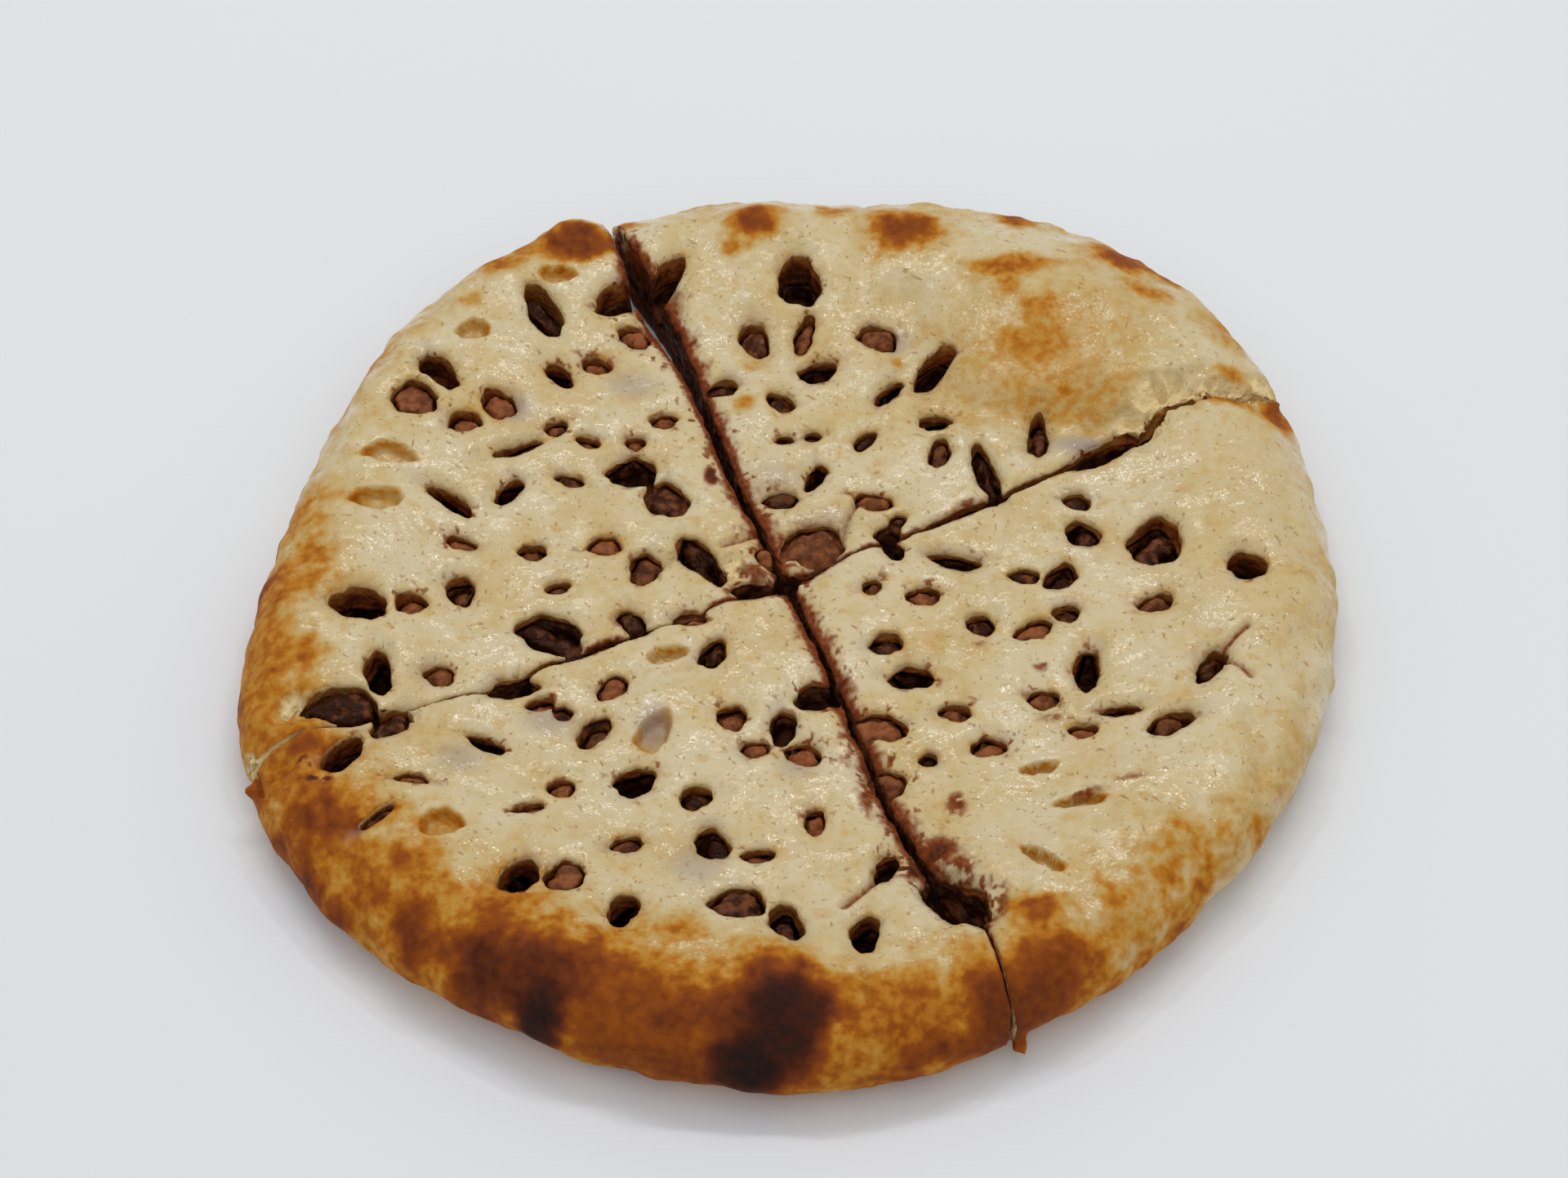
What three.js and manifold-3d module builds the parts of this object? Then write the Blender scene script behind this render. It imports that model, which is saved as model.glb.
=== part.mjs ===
// A round flatbread stuffed with chocolate chips, cut crosswise into four quarters that still lie together.
// Units are millimetres. +Z is up, +Y points to the back, and the origin is the middle of the underside.

import * as THREE from "three";
import { mergeVertices } from "three/addons/utils/BufferGeometryUtils.js";
import Module from "manifold-3d";

const wasm = await Module();
wasm.setup();

// Outline seen from above: a mean circle with long waves, each with its swell and the angle of a crest
const MEAN_RADIUS = 101.5;
const OUTLINE_WAVES = [
  { count: 1, swell: 2.75, crest: 102 },
  { count: 2, swell: 4.5, crest: 65.5 },
  { count: 3, swell: 0.55, crest: 22 },
  { count: 4, swell: 1.7, crest: 37.5 },
  { count: 5, swell: 1.7, crest: -16 },
];

// Section through the rim: how far in the underside and the crown roll over, and the height of the widest line
const FOOT_ROLL = 9;
const CROWN_ROLL = 15;
const EDGE_SHARE = 0.42;

// Thickness of the middle, and the rise towards the rim between two shares of the radius
const MIDDLE_HEIGHT = 13;
const RIM_RISE = 4.5;
const RISE_START = 0.56;
const RISE_END = 0.86;

// Bubbles and blisters in the crust: centre, reach and rise
const PUFFS = [
  { x: 45, y: 64, reach: 25, rise: 6.5 },
  { x: -6, y: 84, reach: 22, rise: 1.5 },
  { x: -45, y: 91, reach: 7, rise: 5.5 },
  { x: -58, y: 79, reach: 7, rise: 2 },
  { x: -8.5, y: 94, reach: 8, rise: 2.6 },
  { x: 21.5, y: 90, reach: 9, rise: 1.8 },
  { x: -4, y: -88, reach: 11, rise: 2 },
  { x: -44, y: -84, reach: 12, rise: 1.4 },
  { x: 78, y: 16, reach: 17, rise: 1.2 },
  { x: 36, y: -84, reach: 10, rise: 1.2 },
];

// Torn flakes of crust that stick out at the ends of two cuts: middle, then length, width and height, and turn
const FLAKES = [
  { at: [-95, -41, 9.5], size: [7, 4, 5], turn: -60 },
  { at: [36, -94, 5], size: [7, 5, 4], turn: -70 },
];

// Chocolate layer: its floor and top, how far it stays inside the outline, and its clearance in the dough
const FILLING_FLOOR = 4;
const FILLING_TOP = 9.6;
const FILLING_INSET = 11;
const CLEARANCE = 0.35;

// The four cuts run from the crossing out past the rim, as points x, y and the width of the gap there
const CUTS = {
  right: [
    [0.5, 4.8, 1.6], [19.9, 14, 1.5], [36.6, 23, 1.6], [55, 33, 2.4],
    [69, 42, 1.6], [88, 47.5, 1.4], [110, 51, 1.4],
  ],
  back: [
    [-3, 5.8, 2], [-13, 32.5, 2], [-19.4, 53, 2.6], [-28, 73, 5], [-35, 89.5, 2.6], [-42, 111, 2.6],
  ],
  left: [
    [-4.4, 2.8, 1], [-34.2, -12.4, 1], [-51, -21, 1.4], [-73, -31, 1], [-95, -39, 0.9], [-110, -45, 0.9],
  ],
  front: [
    [-1.2, 1.4, 1.8], [9.7, -30.2, 1.6], [17, -52, 2], [28.5, -71, 3],
    [31.7, -80, 1], [34.8, -92, 0.9], [38, -112, 0.9],
  ],
};
const CUT_STEPS = 14;
const OUTER_REACH = 150;

// Holes where the crust opened, by quarter from the left clockwise: x, y, length, width, turn in degrees
const OPEN_HOLES = [
  [-48.5, 69, 12, 5.5, -62], [-67.5, 52.5, 10, 5, -58], [-45, 54, 6.5, 3.6, -42], [-52, 35.5, 9, 2.4, 29],
  [-63.5, 21, 10.5, 3.2, -37], [-53, 25, 6.5, 3.5, 52], [-30.5, 30, 9, 6.8, 10], [-60.5, 0.5, 6, 5, 80],
  [-78, -5.5, 9.5, 6.5, -15], [-17.5, 8.5, 13, 5, -60], [-73.5, -21, 9, 4.6, 95], [-44, -9.5, 12, 7.5, -15],
  [-34.5, 73, 9, 6, 35], [-25, 78.5, 9, 4.8, 65], [0.5, 76.5, 10, 8, 85], [26, 55.5, 9.5, 5, 56],
  [4, 55.5, 7.2, 5, 37], [26, 42, 6.2, 4.1, 0], [35, 29.5, 12, 4, -72], [45, 38.5, 9.3, 3.5, 82],
  [3.5, 29, 6.3, 3.3, 65], [17.5, 50, 7.8, 2.8, 58], [57.5, 34.5, 13, 4.8, 28], [52, 14.5, 6.8, 5, -33],
  [65, 11, 10, 8.6, 70], [80.5, 2.5, 6.3, 5.8, 20], [47.5, 4, 6.5, 5, 60], [28.5, 8, 9, 3.1, -8],
  [20, -19.5, 7, 5, 9], [51, -18, 9.3, 4, 88], [56.5, -28, 7.2, 2.4, 1], [64.5, -32.5, 8, 4.5, 15],
  [72.5, -19.5, 8, 4, 55], [26, -69.5, 14, 8, -50], [11, -77.5, 9, 4.1, 81], [-2, -75, 8, 5.4, -70],
  [-29, -72.5, 7.2, 4.8, 80], [-46.5, -66, 8, 5.3, 70], [-14.5, -56.5, 6.2, 5.5, -45], [-28, -43, 7.5, 5, 38],
  [3.5, -24, 8, 5.6, 8], [-2.5, -31, 7, 4.3, 77], [-15, -14, 7, 4, 75], [-35.5, -32, 7, 4.5, 60],
  [-54, -35, 7.2, 2.8, -22], [-50, -22, 8, 4.2, 12], [-78, -40, 9.3, 4.8, 65],
];

// Holes with a chip standing in them, in the same form
const CHIP_HOLES = [
  [-71.5, 45, 9, 7, -30], [-56, 45.5, 7.3, 5.2, -50], [-31, 64, 6.5, 4.3, -25], [-24, 23, 9, 6.5, -60],
  [-27.5, 6, 7, 5.6, 70], [-79, -29, 11, 8, -5], [-29.5, -6.5, 6, 4, -57], [-8, 63.5, 8, 4.8, 100],
  [1.5, 64.5, 8.5, 3.4, 75], [15.5, 63.5, 6.6, 6, 0], [26.5, 34, 7, 3.5, 75], [14, 22.5, 7.3, 3.8, -15],
  [3, 12, 10, 8.6, 30], [-3, 23, 6, 4.2, 10], [64, -3.5, 6.5, 3.8, 15], [42, -9, 6.6, 4, 25],
  [14, -31, 9, 6, -10], [15.5, -43, 6, 5, 0], [-10, -70.5, 8.4, 7.6, -30], [-39, -65.5, 6.8, 6.2, 40],
  [1, -37, 6.3, 4.3, -8], [-32.5, -22, 6.2, 4.3, 42], [-70.5, -32.5, 7.6, 4.6, 42],
];

// Shallow dents in the crust, in the same form
const DENTS = [
  [-46, 77, 7, 4.3, 5], [-61.5, 62.5, 6.5, 5.4, 40], [-75, 30, 10, 4.6, 3], [-76.5, 19, 9.3, 5.2, -3],
  [-25, -33, 9, 5.8, 70], [-60, -55.5, 7.2, 6.2, 20], [-23, -15, 8.2, 3.5, 11], [41.5, -41.5, 6.3, 2.8, 11],
  [41, -63, 8.6, 3.1, -41], [48, -50, 9, 3, 0],
];
const DENT_DEPTH = 2;
const CHIP_DROP = 1;
const HOLE_SIDES = 8;

// Small holes, in the same form
const SMALL_HOLES = [
  [-38, 56.5, 5, 4, 0], [-62, 40, 5.5, 4.8, 30], [-25, 43, 5, 4, 0], [-45, 41, 4, 3.8, 0], [-39, 37.5, 5, 2.5, -35],
  [-42, 28, 5.5, 2.7, -17], [-61, 11, 6, 2.5, -15], [-43, 1, 5, 2.5, 20], [-30, 37, 4, 3, 0], [-19, -5.5, 6, 3, 0],
  [-35, 11.5, 5.3, 4.8, 0], [-48, 9.5, 5, 4.2, 0], [-69, -4.5, 5, 4.8, 0], [-63, -20, 5.4, 4, 0],
  [-3, 47.5, 5.6, 4.2, -52], [-14, 52, 5.8, 3.6, 0], [12.7, 37.5, 5, 3, 55], [-2.4, 38, 4, 2.3, 0],
  [3, 39, 3.5, 2.5, 0], [18.5, 18, 3, 3, 0], [22.6, -1, 5.5, 4.6, 0], [15.7, -12, 5.5, 5, 0],
  [27.5, -28, 5.2, 4, 0], [32.7, -7.5, 5, 4.5, 0], [13.4, 1.5, 3.5, 3.4, 0], [51.4, 22, 5, 4, 0],
  [33, -35.5, 5.6, 4.5, 0], [48, -5, 4.4, 4.2, 0], [43, -25, 5, 4.6, 0], [41, 4, 5, 4, 0], [22.5, -38.5, 3.2, 3, 0],
  [49.5, -32.5, 4.5, 3.5, 0], [-11.5, -29, 5.3, 5, 0], [-7.4, -36, 4.5, 4, 0], [-17.5, -47, 5.2, 4.8, 0],
  [-66, -45, 5.5, 2.4, 0], [-29, -57, 5.6, 3.8, 30], [-6.8, -59.5, 5.6, 3, 0], [2.9, -52, 5.2, 3.5, 80],
  [-40.5, -45, 4.2, 4, 0], [-41, -28, 3.5, 3.4, 0], [-45, -26, 5, 3, 0], [-71, -54, 7, 2, 40], [-46, -50, 6, 2, 20],
];
const SMALL_HOLE_SIDES = 6;

// Facets round the loaf and round its filling
const LOAF_SPOKES = 84;
const FILLING_SPOKES = 48;

const { degToRad, lerp, smoothstep } = THREE.MathUtils;

function outlineRadius(angle) {
  const wave = ({ count, swell, crest }) => swell * Math.cos(count * (angle - degToRad(crest)));
  return OUTLINE_WAVES.reduce((radius, row) => radius + wave(row), MEAN_RADIUS);
}

// The waves push the outline to one side: this is the middle of its box, which the whole group is moved by
function outlineMiddle() {
  const box = new THREE.Box2();
  for (let spoke = 0; spoke < LOAF_SPOKES; spoke += 1) {
    const angle = (spoke / LOAF_SPOKES) * 2 * Math.PI;
    const radius = outlineRadius(angle);
    box.expandByPoint(new THREE.Vector2(radius * Math.cos(angle), radius * Math.sin(angle)));
  }
  return box.getCenter(new THREE.Vector2());
}

// Share of the way from the middle to the outline, 1 on the outline
function rimShare(x, y) {
  return Math.hypot(x, y) / outlineRadius(Math.atan2(y, x));
}

function puffRise({ x: centreX, y: centreY, reach, rise }, x, y) {
  return rise * Math.exp(-((x - centreX) ** 2 + (y - centreY) ** 2) / reach ** 2);
}

function topHeight(x, y) {
  const rimmed = MIDDLE_HEIGHT + RIM_RISE * smoothstep(rimShare(x, y), RISE_START, RISE_END);
  return PUFFS.reduce((height, puff) => height + puffRise(puff, x, y), rimmed);
}

// Closed geometry to solid: shared vertices are merged and triangles that shrank to a line are dropped
function toSolid(geometry) {
  geometry.deleteAttribute("normal");
  geometry.deleteAttribute("uv");
  const merged = mergeVertices(geometry);
  const corners = merged.index.array;
  const triVerts = [];
  for (let at = 0; at < corners.length; at += 3) {
    const [a, b, c] = corners.subarray(at, at + 3);
    if (a !== b && b !== c && c !== a) triVerts.push(a, b, c);
  }
  const vertProperties = new Float32Array(merged.attributes.position.array);
  return new wasm.Manifold(new wasm.Mesh({ numProp: 3, vertProperties, triVerts: new Uint32Array(triVerts) }));
}

function toGeometry(solid) {
  const mesh = solid.getMesh();
  const geometry = new THREE.BufferGeometry();
  geometry.setAttribute("position", new THREE.BufferAttribute(mesh.vertProperties, 3));
  geometry.setIndex(new THREE.BufferAttribute(mesh.triVerts, 1));
  geometry.computeVertexNormals();
  return geometry;
}

function joined(solids) {
  return solids.reduce((whole, solid) => whole.add(solid));
}

// A half section is turned about Z, and each vertex then moves to the uneven outline and its own height
function turned(section, spokes, place) {
  const geometry = new THREE.LatheGeometry(section, spokes);
  geometry.rotateX(Math.PI / 2);
  const position = geometry.attributes.position;
  for (let i = 0; i < position.count; i += 1) {
    const angle = Math.atan2(position.getY(i), position.getX(i));
    const radius = Math.hypot(position.getX(i), position.getY(i));
    const placed = place(angle, radius, position.getZ(i));
    position.setXYZ(i, placed.x, placed.y, placed.z);
  }
  return toSolid(geometry);
}

// Half section of the loaf: radius in millimetres of the mean circle, height as a share of the top height
function loafSection() {
  const section = [[0, 0], [50, 0], [MEAN_RADIUS - FOOT_ROLL, 0]];
  for (const turn of [40, 65, 90]) {
    const angle = degToRad(turn);
    section.push([MEAN_RADIUS - FOOT_ROLL * (1 - Math.sin(angle)), EDGE_SHARE * (1 - Math.cos(angle))]);
  }
  for (const turn of [25, 48, 70, 90]) {
    const angle = degToRad(turn);
    const share = lerp(EDGE_SHARE, 1, Math.sin(angle));
    section.push([MEAN_RADIUS - CROWN_ROLL * (1 - Math.cos(angle)), share]);
  }
  for (const radius of [76, 66, 55, 44, 32, 16, 0]) section.push([radius, 1]);
  return section.map(([radius, share]) => new THREE.Vector2(radius, share));
}

function loaf() {
  return turned(loafSection(), LOAF_SPOKES, (angle, radius, share) => {
    const reach = (radius / MEAN_RADIUS) * outlineRadius(angle);
    const x = reach * Math.cos(angle);
    const y = reach * Math.sin(angle);
    return { x, y, z: share * topHeight(x, y) };
  });
}

// The space for the chocolate, or with a clearance the chocolate layer itself
function fillingSlab(clearance) {
  const reach = MEAN_RADIUS - FILLING_INSET;
  const floor = FILLING_FLOOR + clearance;
  const top = FILLING_TOP - clearance;
  const section = [[0, floor], [reach, floor], [reach, top], [0, top]].map(([r, z]) => new THREE.Vector2(r, z));
  return turned(section, FILLING_SPOKES, (angle, radius, z) => {
    const scaled = (radius / reach) * (outlineRadius(angle) - FILLING_INSET - clearance);
    return { x: scaled * Math.cos(angle), y: scaled * Math.sin(angle), z };
  });
}

// A cut's points and gap widths on a smooth line from the crossing to beyond the rim
function cutLine(name) {
  const points = CUTS[name].map(([x, y, gap]) => new THREE.Vector3(x, y, gap));
  return new THREE.CatmullRomCurve3(points).getSpacedPoints(CUT_STEPS);
}

// One side of a cut, half a gap away from its line
function cutSide(name, side) {
  const line = cutLine(name);
  return line.map((point, i) => {
    const before = line[Math.max(i - 1, 0)];
    const after = line[Math.min(i + 1, CUT_STEPS)];
    const along = new THREE.Vector2(after.x - before.x, after.y - before.y).normalize();
    const offset = (side * point.z) / 2;
    return new THREE.Vector2(point.x - along.y * offset, point.y + along.x * offset);
  });
}

// Upright prism over one quarter, from the first cut anticlockwise to the second
function quarterPrism(first, second) {
  const outward = cutSide(first, 1);
  const inward = cutSide(second, -1).reverse();
  const corner = outward[CUT_STEPS].clone().add(inward[0]).setLength(OUTER_REACH);
  const shape = new THREE.Shape([...outward, corner, ...inward]);
  const geometry = new THREE.ExtrudeGeometry(shape, { depth: 60, bevelEnabled: false });
  geometry.translate(0, 0, -10);
  return toSolid(geometry);
}

// Upright elliptic punch from a floor to above the crust
function punch([x, y, length, width, turn], floor, sides, clearance = 0) {
  const height = 60;
  const geometry = new THREE.CylinderGeometry(1, 1, height, sides);
  geometry.rotateX(Math.PI / 2);
  geometry.scale(length / 2 - clearance, width / 2 - clearance, 1);
  geometry.rotateZ(degToRad(turn));
  geometry.translate(x, y, floor + height / 2);
  return toSolid(geometry);
}

// Rounded lump with few sides: a chip, a flake, or what presses a dent
function lump([length, width, height], turn, [x, y, z]) {
  const geometry = new THREE.SphereGeometry(0.5, HOLE_SIDES, 6);
  geometry.rotateX(Math.PI / 2);
  geometry.scale(length, width, height);
  geometry.rotateZ(degToRad(turn));
  geometry.translate(x, y, z);
  return toSolid(geometry);
}

// The crust with its flakes, the space for the filling, its holes and its dents, still whole
function hollowLoaf() {
  const flakes = FLAKES.map(({ at, size, turn }) => lump(size, turn, at));
  const floor = FILLING_TOP - CLEARANCE;
  const open = OPEN_HOLES.map((hole) => punch(hole, floor, HOLE_SIDES));
  const chips = CHIP_HOLES.map((hole) => punch(hole, FILLING_FLOOR, HOLE_SIDES));
  const small = SMALL_HOLES.map((hole) => punch(hole, floor, SMALL_HOLE_SIDES));
  const dents = DENTS.map(([x, y, length, width, turn]) => (
    lump([length, width, 2 * DENT_DEPTH], turn, [x, y, topHeight(x, y)])
  ));
  const pressed = joined([fillingSlab(0), ...open, ...chips, ...small, ...dents]);
  return joined([loaf(), ...flakes]).subtract(pressed);
}

// A chip as wide as its hole allows, from the floor of the layer to just under the crust
function chip(hole) {
  const [x, y, length, width, turn] = hole;
  const middle = FILLING_TOP - 2 * CLEARANCE;
  const rise = topHeight(x, y) - CHIP_DROP - middle;
  const size = [length - 2 * CLEARANCE, width - 2 * CLEARANCE, 2 * rise];
  const room = punch(hole, FILLING_FLOOR + CLEARANCE, HOLE_SIDES, CLEARANCE);
  return lump(size, turn, [x, y, middle]).intersect(room);
}

// The chocolate layer with the chips that stand up into their holes, still whole
function wholeFilling() {
  return joined([fillingSlab(CLEARANCE), ...CHIP_HOLES.map(chip)]);
}

const QUARTERS = [
  { name: "left", cuts: ["back", "left"] },
  { name: "back", cuts: ["right", "back"] },
  { name: "right", cuts: ["front", "right"] },
  { name: "front", cuts: ["left", "front"] },
];

function named(name, solid, material) {
  const mesh = new THREE.Mesh(toGeometry(solid), material);
  mesh.name = name;
  return mesh;
}

function chocolateNaan() {
  const dough = hollowLoaf();
  const chocolate = wholeFilling();
  const naan = new THREE.Group();
  for (const { name, cuts } of QUARTERS) {
    const prism = quarterPrism(...cuts);
    const crust = new THREE.MeshStandardMaterial({ color: 0xe3cf9e, roughness: 0.5, metalness: 0 });
    const filling = new THREE.MeshStandardMaterial({ color: 0x3a1c10, roughness: 0.4, metalness: 0 });
    naan.add(named(`${name}_dough`, dough.intersect(prism), crust));
    naan.add(named(`${name}_chocolate`, chocolate.intersect(prism), filling));
  }
  const middle = outlineMiddle();
  naan.position.set(-middle.x, -middle.y, 0);
  return naan;
}

export default chocolateNaan();
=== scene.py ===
"""Looks of a round flatbread stuffed with chocolate chips and cut crosswise into four quarters."""

import itertools
import logging
import math
from collections.abc import Iterator
from dataclasses import dataclass
from enum import Enum

import bpy
import numpy as np
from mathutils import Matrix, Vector
from mathutils.bvhtree import BVHTree
from mathutils.kdtree import KDTree


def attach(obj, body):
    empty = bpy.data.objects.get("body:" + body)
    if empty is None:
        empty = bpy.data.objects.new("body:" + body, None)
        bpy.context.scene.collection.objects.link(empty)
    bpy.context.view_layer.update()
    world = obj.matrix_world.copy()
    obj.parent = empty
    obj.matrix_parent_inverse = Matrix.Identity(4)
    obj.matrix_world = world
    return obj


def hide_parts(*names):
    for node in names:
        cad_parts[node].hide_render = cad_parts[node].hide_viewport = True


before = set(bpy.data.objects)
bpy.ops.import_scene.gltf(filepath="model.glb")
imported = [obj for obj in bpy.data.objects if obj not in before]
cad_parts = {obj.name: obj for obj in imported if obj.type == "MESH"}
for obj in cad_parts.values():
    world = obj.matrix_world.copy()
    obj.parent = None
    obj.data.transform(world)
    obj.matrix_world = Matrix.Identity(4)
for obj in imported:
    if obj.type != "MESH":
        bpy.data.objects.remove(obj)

Array = np.ndarray
Body = bpy.types.Object
Socket = bpy.types.NodeSocket
Node = bpy.types.Node
Material = bpy.types.Material
LOG = logging.getLogger("flatbread")
MM = 0.001
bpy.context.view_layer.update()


class HoleKind(Enum):
    """Kinds of opening, in mm: dip of the skin round it, and least and most drop of its chip below that."""

    OPEN = (1.1, 1.2, 3.0)
    CHIP = (0.8, 0.5, 1.3)
    SMALL = (0.7, 0.7, 1.9)
    DENT = (2.6, 0.0, 0.0)

    @property
    def dip(self) -> float:
        """How far the skin sinks round the opening."""
        return self.value[0]

    @property
    def drop(self) -> tuple[float, float]:
        """Least and most drop of a chip's top below the dipped skin."""
        return self.value[1:]


class Quarter(Enum):
    """The four quarters, each from its first cut anticlockwise to its second."""

    LEFT = ("back", "left")
    BACK = ("right", "back")
    RIGHT = ("front", "right")
    FRONT = ("left", "front")


@dataclass(frozen=True)
class Hole:
    """A torn oval opening or dent in the crust: middle, length, width in millimetres and turn in degrees."""

    x: float
    y: float
    length: float
    width: float
    turn: float
    kind: HoleKind
    tears: tuple = ((2, 0.08), (3, 0.06), (5, 0.04), (8, 0.04))
    widest_tear: float = 1.3
    least_smear: float = 0.3

    @property
    def chance(self) -> float:
        """A number from 0 to 1 that differs from hole to hole."""
        return abs(math.sin(self.x * 12.9 + self.y * 7.7))

    @property
    def smear(self) -> float:
        """How much chocolate is smeared on the edge, up to 1."""
        return self.least_smear + (1 - self.least_smear) * self.chance

    def torn(self, around: Array) -> Array:
        """How far the torn edge strays in each direction round the middle, 1 on the oval."""
        stray = np.ones(len(around))
        for count, depth in self.tears:
            stray += depth * np.cos(count * around + self.x * count + self.y * 1.7)
        return stray

    def span(self, points: Array) -> Array:
        """Distance from the middle as a share of the way to the torn edge, 1 on the edge.

        Args:
            points: Points in millimetres, one a row.

        Returns:
            One share for each point.
        """
        turn = math.radians(self.turn)
        right = points[:, 0] - self.x
        back = points[:, 1] - self.y
        along = (right * math.cos(turn) + back * math.sin(turn)) / (self.length / 2)
        across = (back * math.cos(turn) - right * math.sin(turn)) / (self.width / 2)
        return np.hypot(along, across) / self.torn(np.arctan2(across, along))

    def placed(self, flat: Array, height: Array) -> Array:
        """Turns points along and across the hole into points of the bread.

        Args:
            flat: Distance along and across the hole, one point a row.
            height: Height of each point.

        Returns:
            Points in millimetres, one a row.
        """
        turn = math.radians(self.turn)
        return np.column_stack([
            self.x + flat[:, 0] * math.cos(turn) - flat[:, 1] * math.sin(turn),
            self.y + flat[:, 0] * math.sin(turn) + flat[:, 1] * math.cos(turn),
            height,
        ])

    def edge_distance(self, points: Array) -> Array:
        """Distance outwards from the torn edge in millimetres, negative inside.

        Args:
            points: Points in millimetres, one a row.

        Returns:
            One distance for each point.
        """
        return (self.span(points) - 1) * math.sqrt(self.length * self.width) / 2

    def near(self, points: Array, reach: float) -> Array:
        """Numbers of the points within a reach of the hole."""
        away = polar(points[:, :2] - (self.x, self.y))[1]
        return np.flatnonzero(away < self.length / 2 * self.widest_tear + reach)


OPEN_ROWS = [
    (-48.5, 69, 12, 5.5, -62), (-67.5, 52.5, 10, 5, -58), (-45, 54, 6.5, 3.6, -42),
    (-52, 35.5, 9, 2.4, 29), (-63.5, 21, 10.5, 3.2, -37), (-53, 25, 6.5, 3.5, 52), (-30.5, 30, 9, 6.8, 10),
    (-60.5, 0.5, 6, 5, 80), (-78, -5.5, 9.5, 6.5, -15), (-17.5, 8.5, 13, 5, -60), (-73.5, -21, 9, 4.6, 95),
    (-44, -9.5, 12, 7.5, -15), (-34.5, 73, 9, 6, 35), (-25, 78.5, 9, 4.8, 65), (0.5, 76.5, 10, 8, 85),
    (26, 55.5, 9.5, 5, 56), (4, 55.5, 7.2, 5, 37), (26, 42, 6.2, 4.1, 0), (35, 29.5, 12, 4, -72),
    (45, 38.5, 9.3, 3.5, 82), (3.5, 29, 6.3, 3.3, 65), (17.5, 50, 7.8, 2.8, 58), (57.5, 34.5, 13, 4.8, 28),
    (52, 14.5, 6.8, 5, -33), (65, 11, 10, 8.6, 70), (80.5, 2.5, 6.3, 5.8, 20), (47.5, 4, 6.5, 5, 60),
    (28.5, 8, 9, 3.1, -8), (20, -19.5, 7, 5, 9), (51, -18, 9.3, 4, 88), (56.5, -28, 7.2, 2.4, 1),
    (64.5, -32.5, 8, 4.5, 15), (72.5, -19.5, 8, 4, 55), (26, -69.5, 14, 8, -50), (11, -77.5, 9, 4.1, 81),
    (-2, -75, 8, 5.4, -70), (-29, -72.5, 7.2, 4.8, 80), (-46.5, -66, 8, 5.3, 70),
    (-14.5, -56.5, 6.2, 5.5, -45), (-28, -43, 7.5, 5, 38), (3.5, -24, 8, 5.6, 8), (-2.5, -31, 7, 4.3, 77),
    (-15, -14, 7, 4, 75), (-35.5, -32, 7, 4.5, 60), (-54, -35, 7.2, 2.8, -22), (-50, -22, 8, 4.2, 12),
    (-78, -40, 9.3, 4.8, 65), (14.8, -61.8, 6, 3.4, 65), (-7.4, 1.6, 8, 4.2, 8),
    (17.6, 10.2, 4.6, 3.4, -60), (16.6, 14.8, 5, 4, 60),
]
CHIP_ROWS = [
    (-71.5, 45, 9, 7, -30), (-56, 45.5, 7.3, 5.2, -50), (-31, 64, 6.5, 4.3, -25), (-24, 23, 9, 6.5, -60),
    (-27.5, 6, 7, 5.6, 70), (-79, -29.2, 11, 8, -5), (-29.5, -6.5, 6, 4, -57), (-8, 63.5, 8, 4.8, 100),
    (1.5, 64.5, 8.5, 3.4, 75), (15.5, 63.5, 6.6, 6, 0), (26.5, 34, 7, 3.5, 75), (14, 22.5, 7.3, 3.8, -15),
    (3, 12, 10, 8.6, 30), (-3, 23, 6, 4.2, 10), (64, -3.5, 6.5, 3.8, 15), (42, -9, 6.6, 4, 25),
    (14, -31, 9, 6, -10), (15.5, -43, 6, 5, 0), (-10, -70.5, 8.4, 7.6, -30), (-39, -65.5, 6.8, 6.2, 40),
    (1, -37, 6.3, 4.3, -8), (-32.5, -22, 6.2, 4.3, 42), (-70.5, -32.5, 7.6, 4.6, 42),
    (-5.4, 9.2, 5, 3.6, -62),
]
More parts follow.
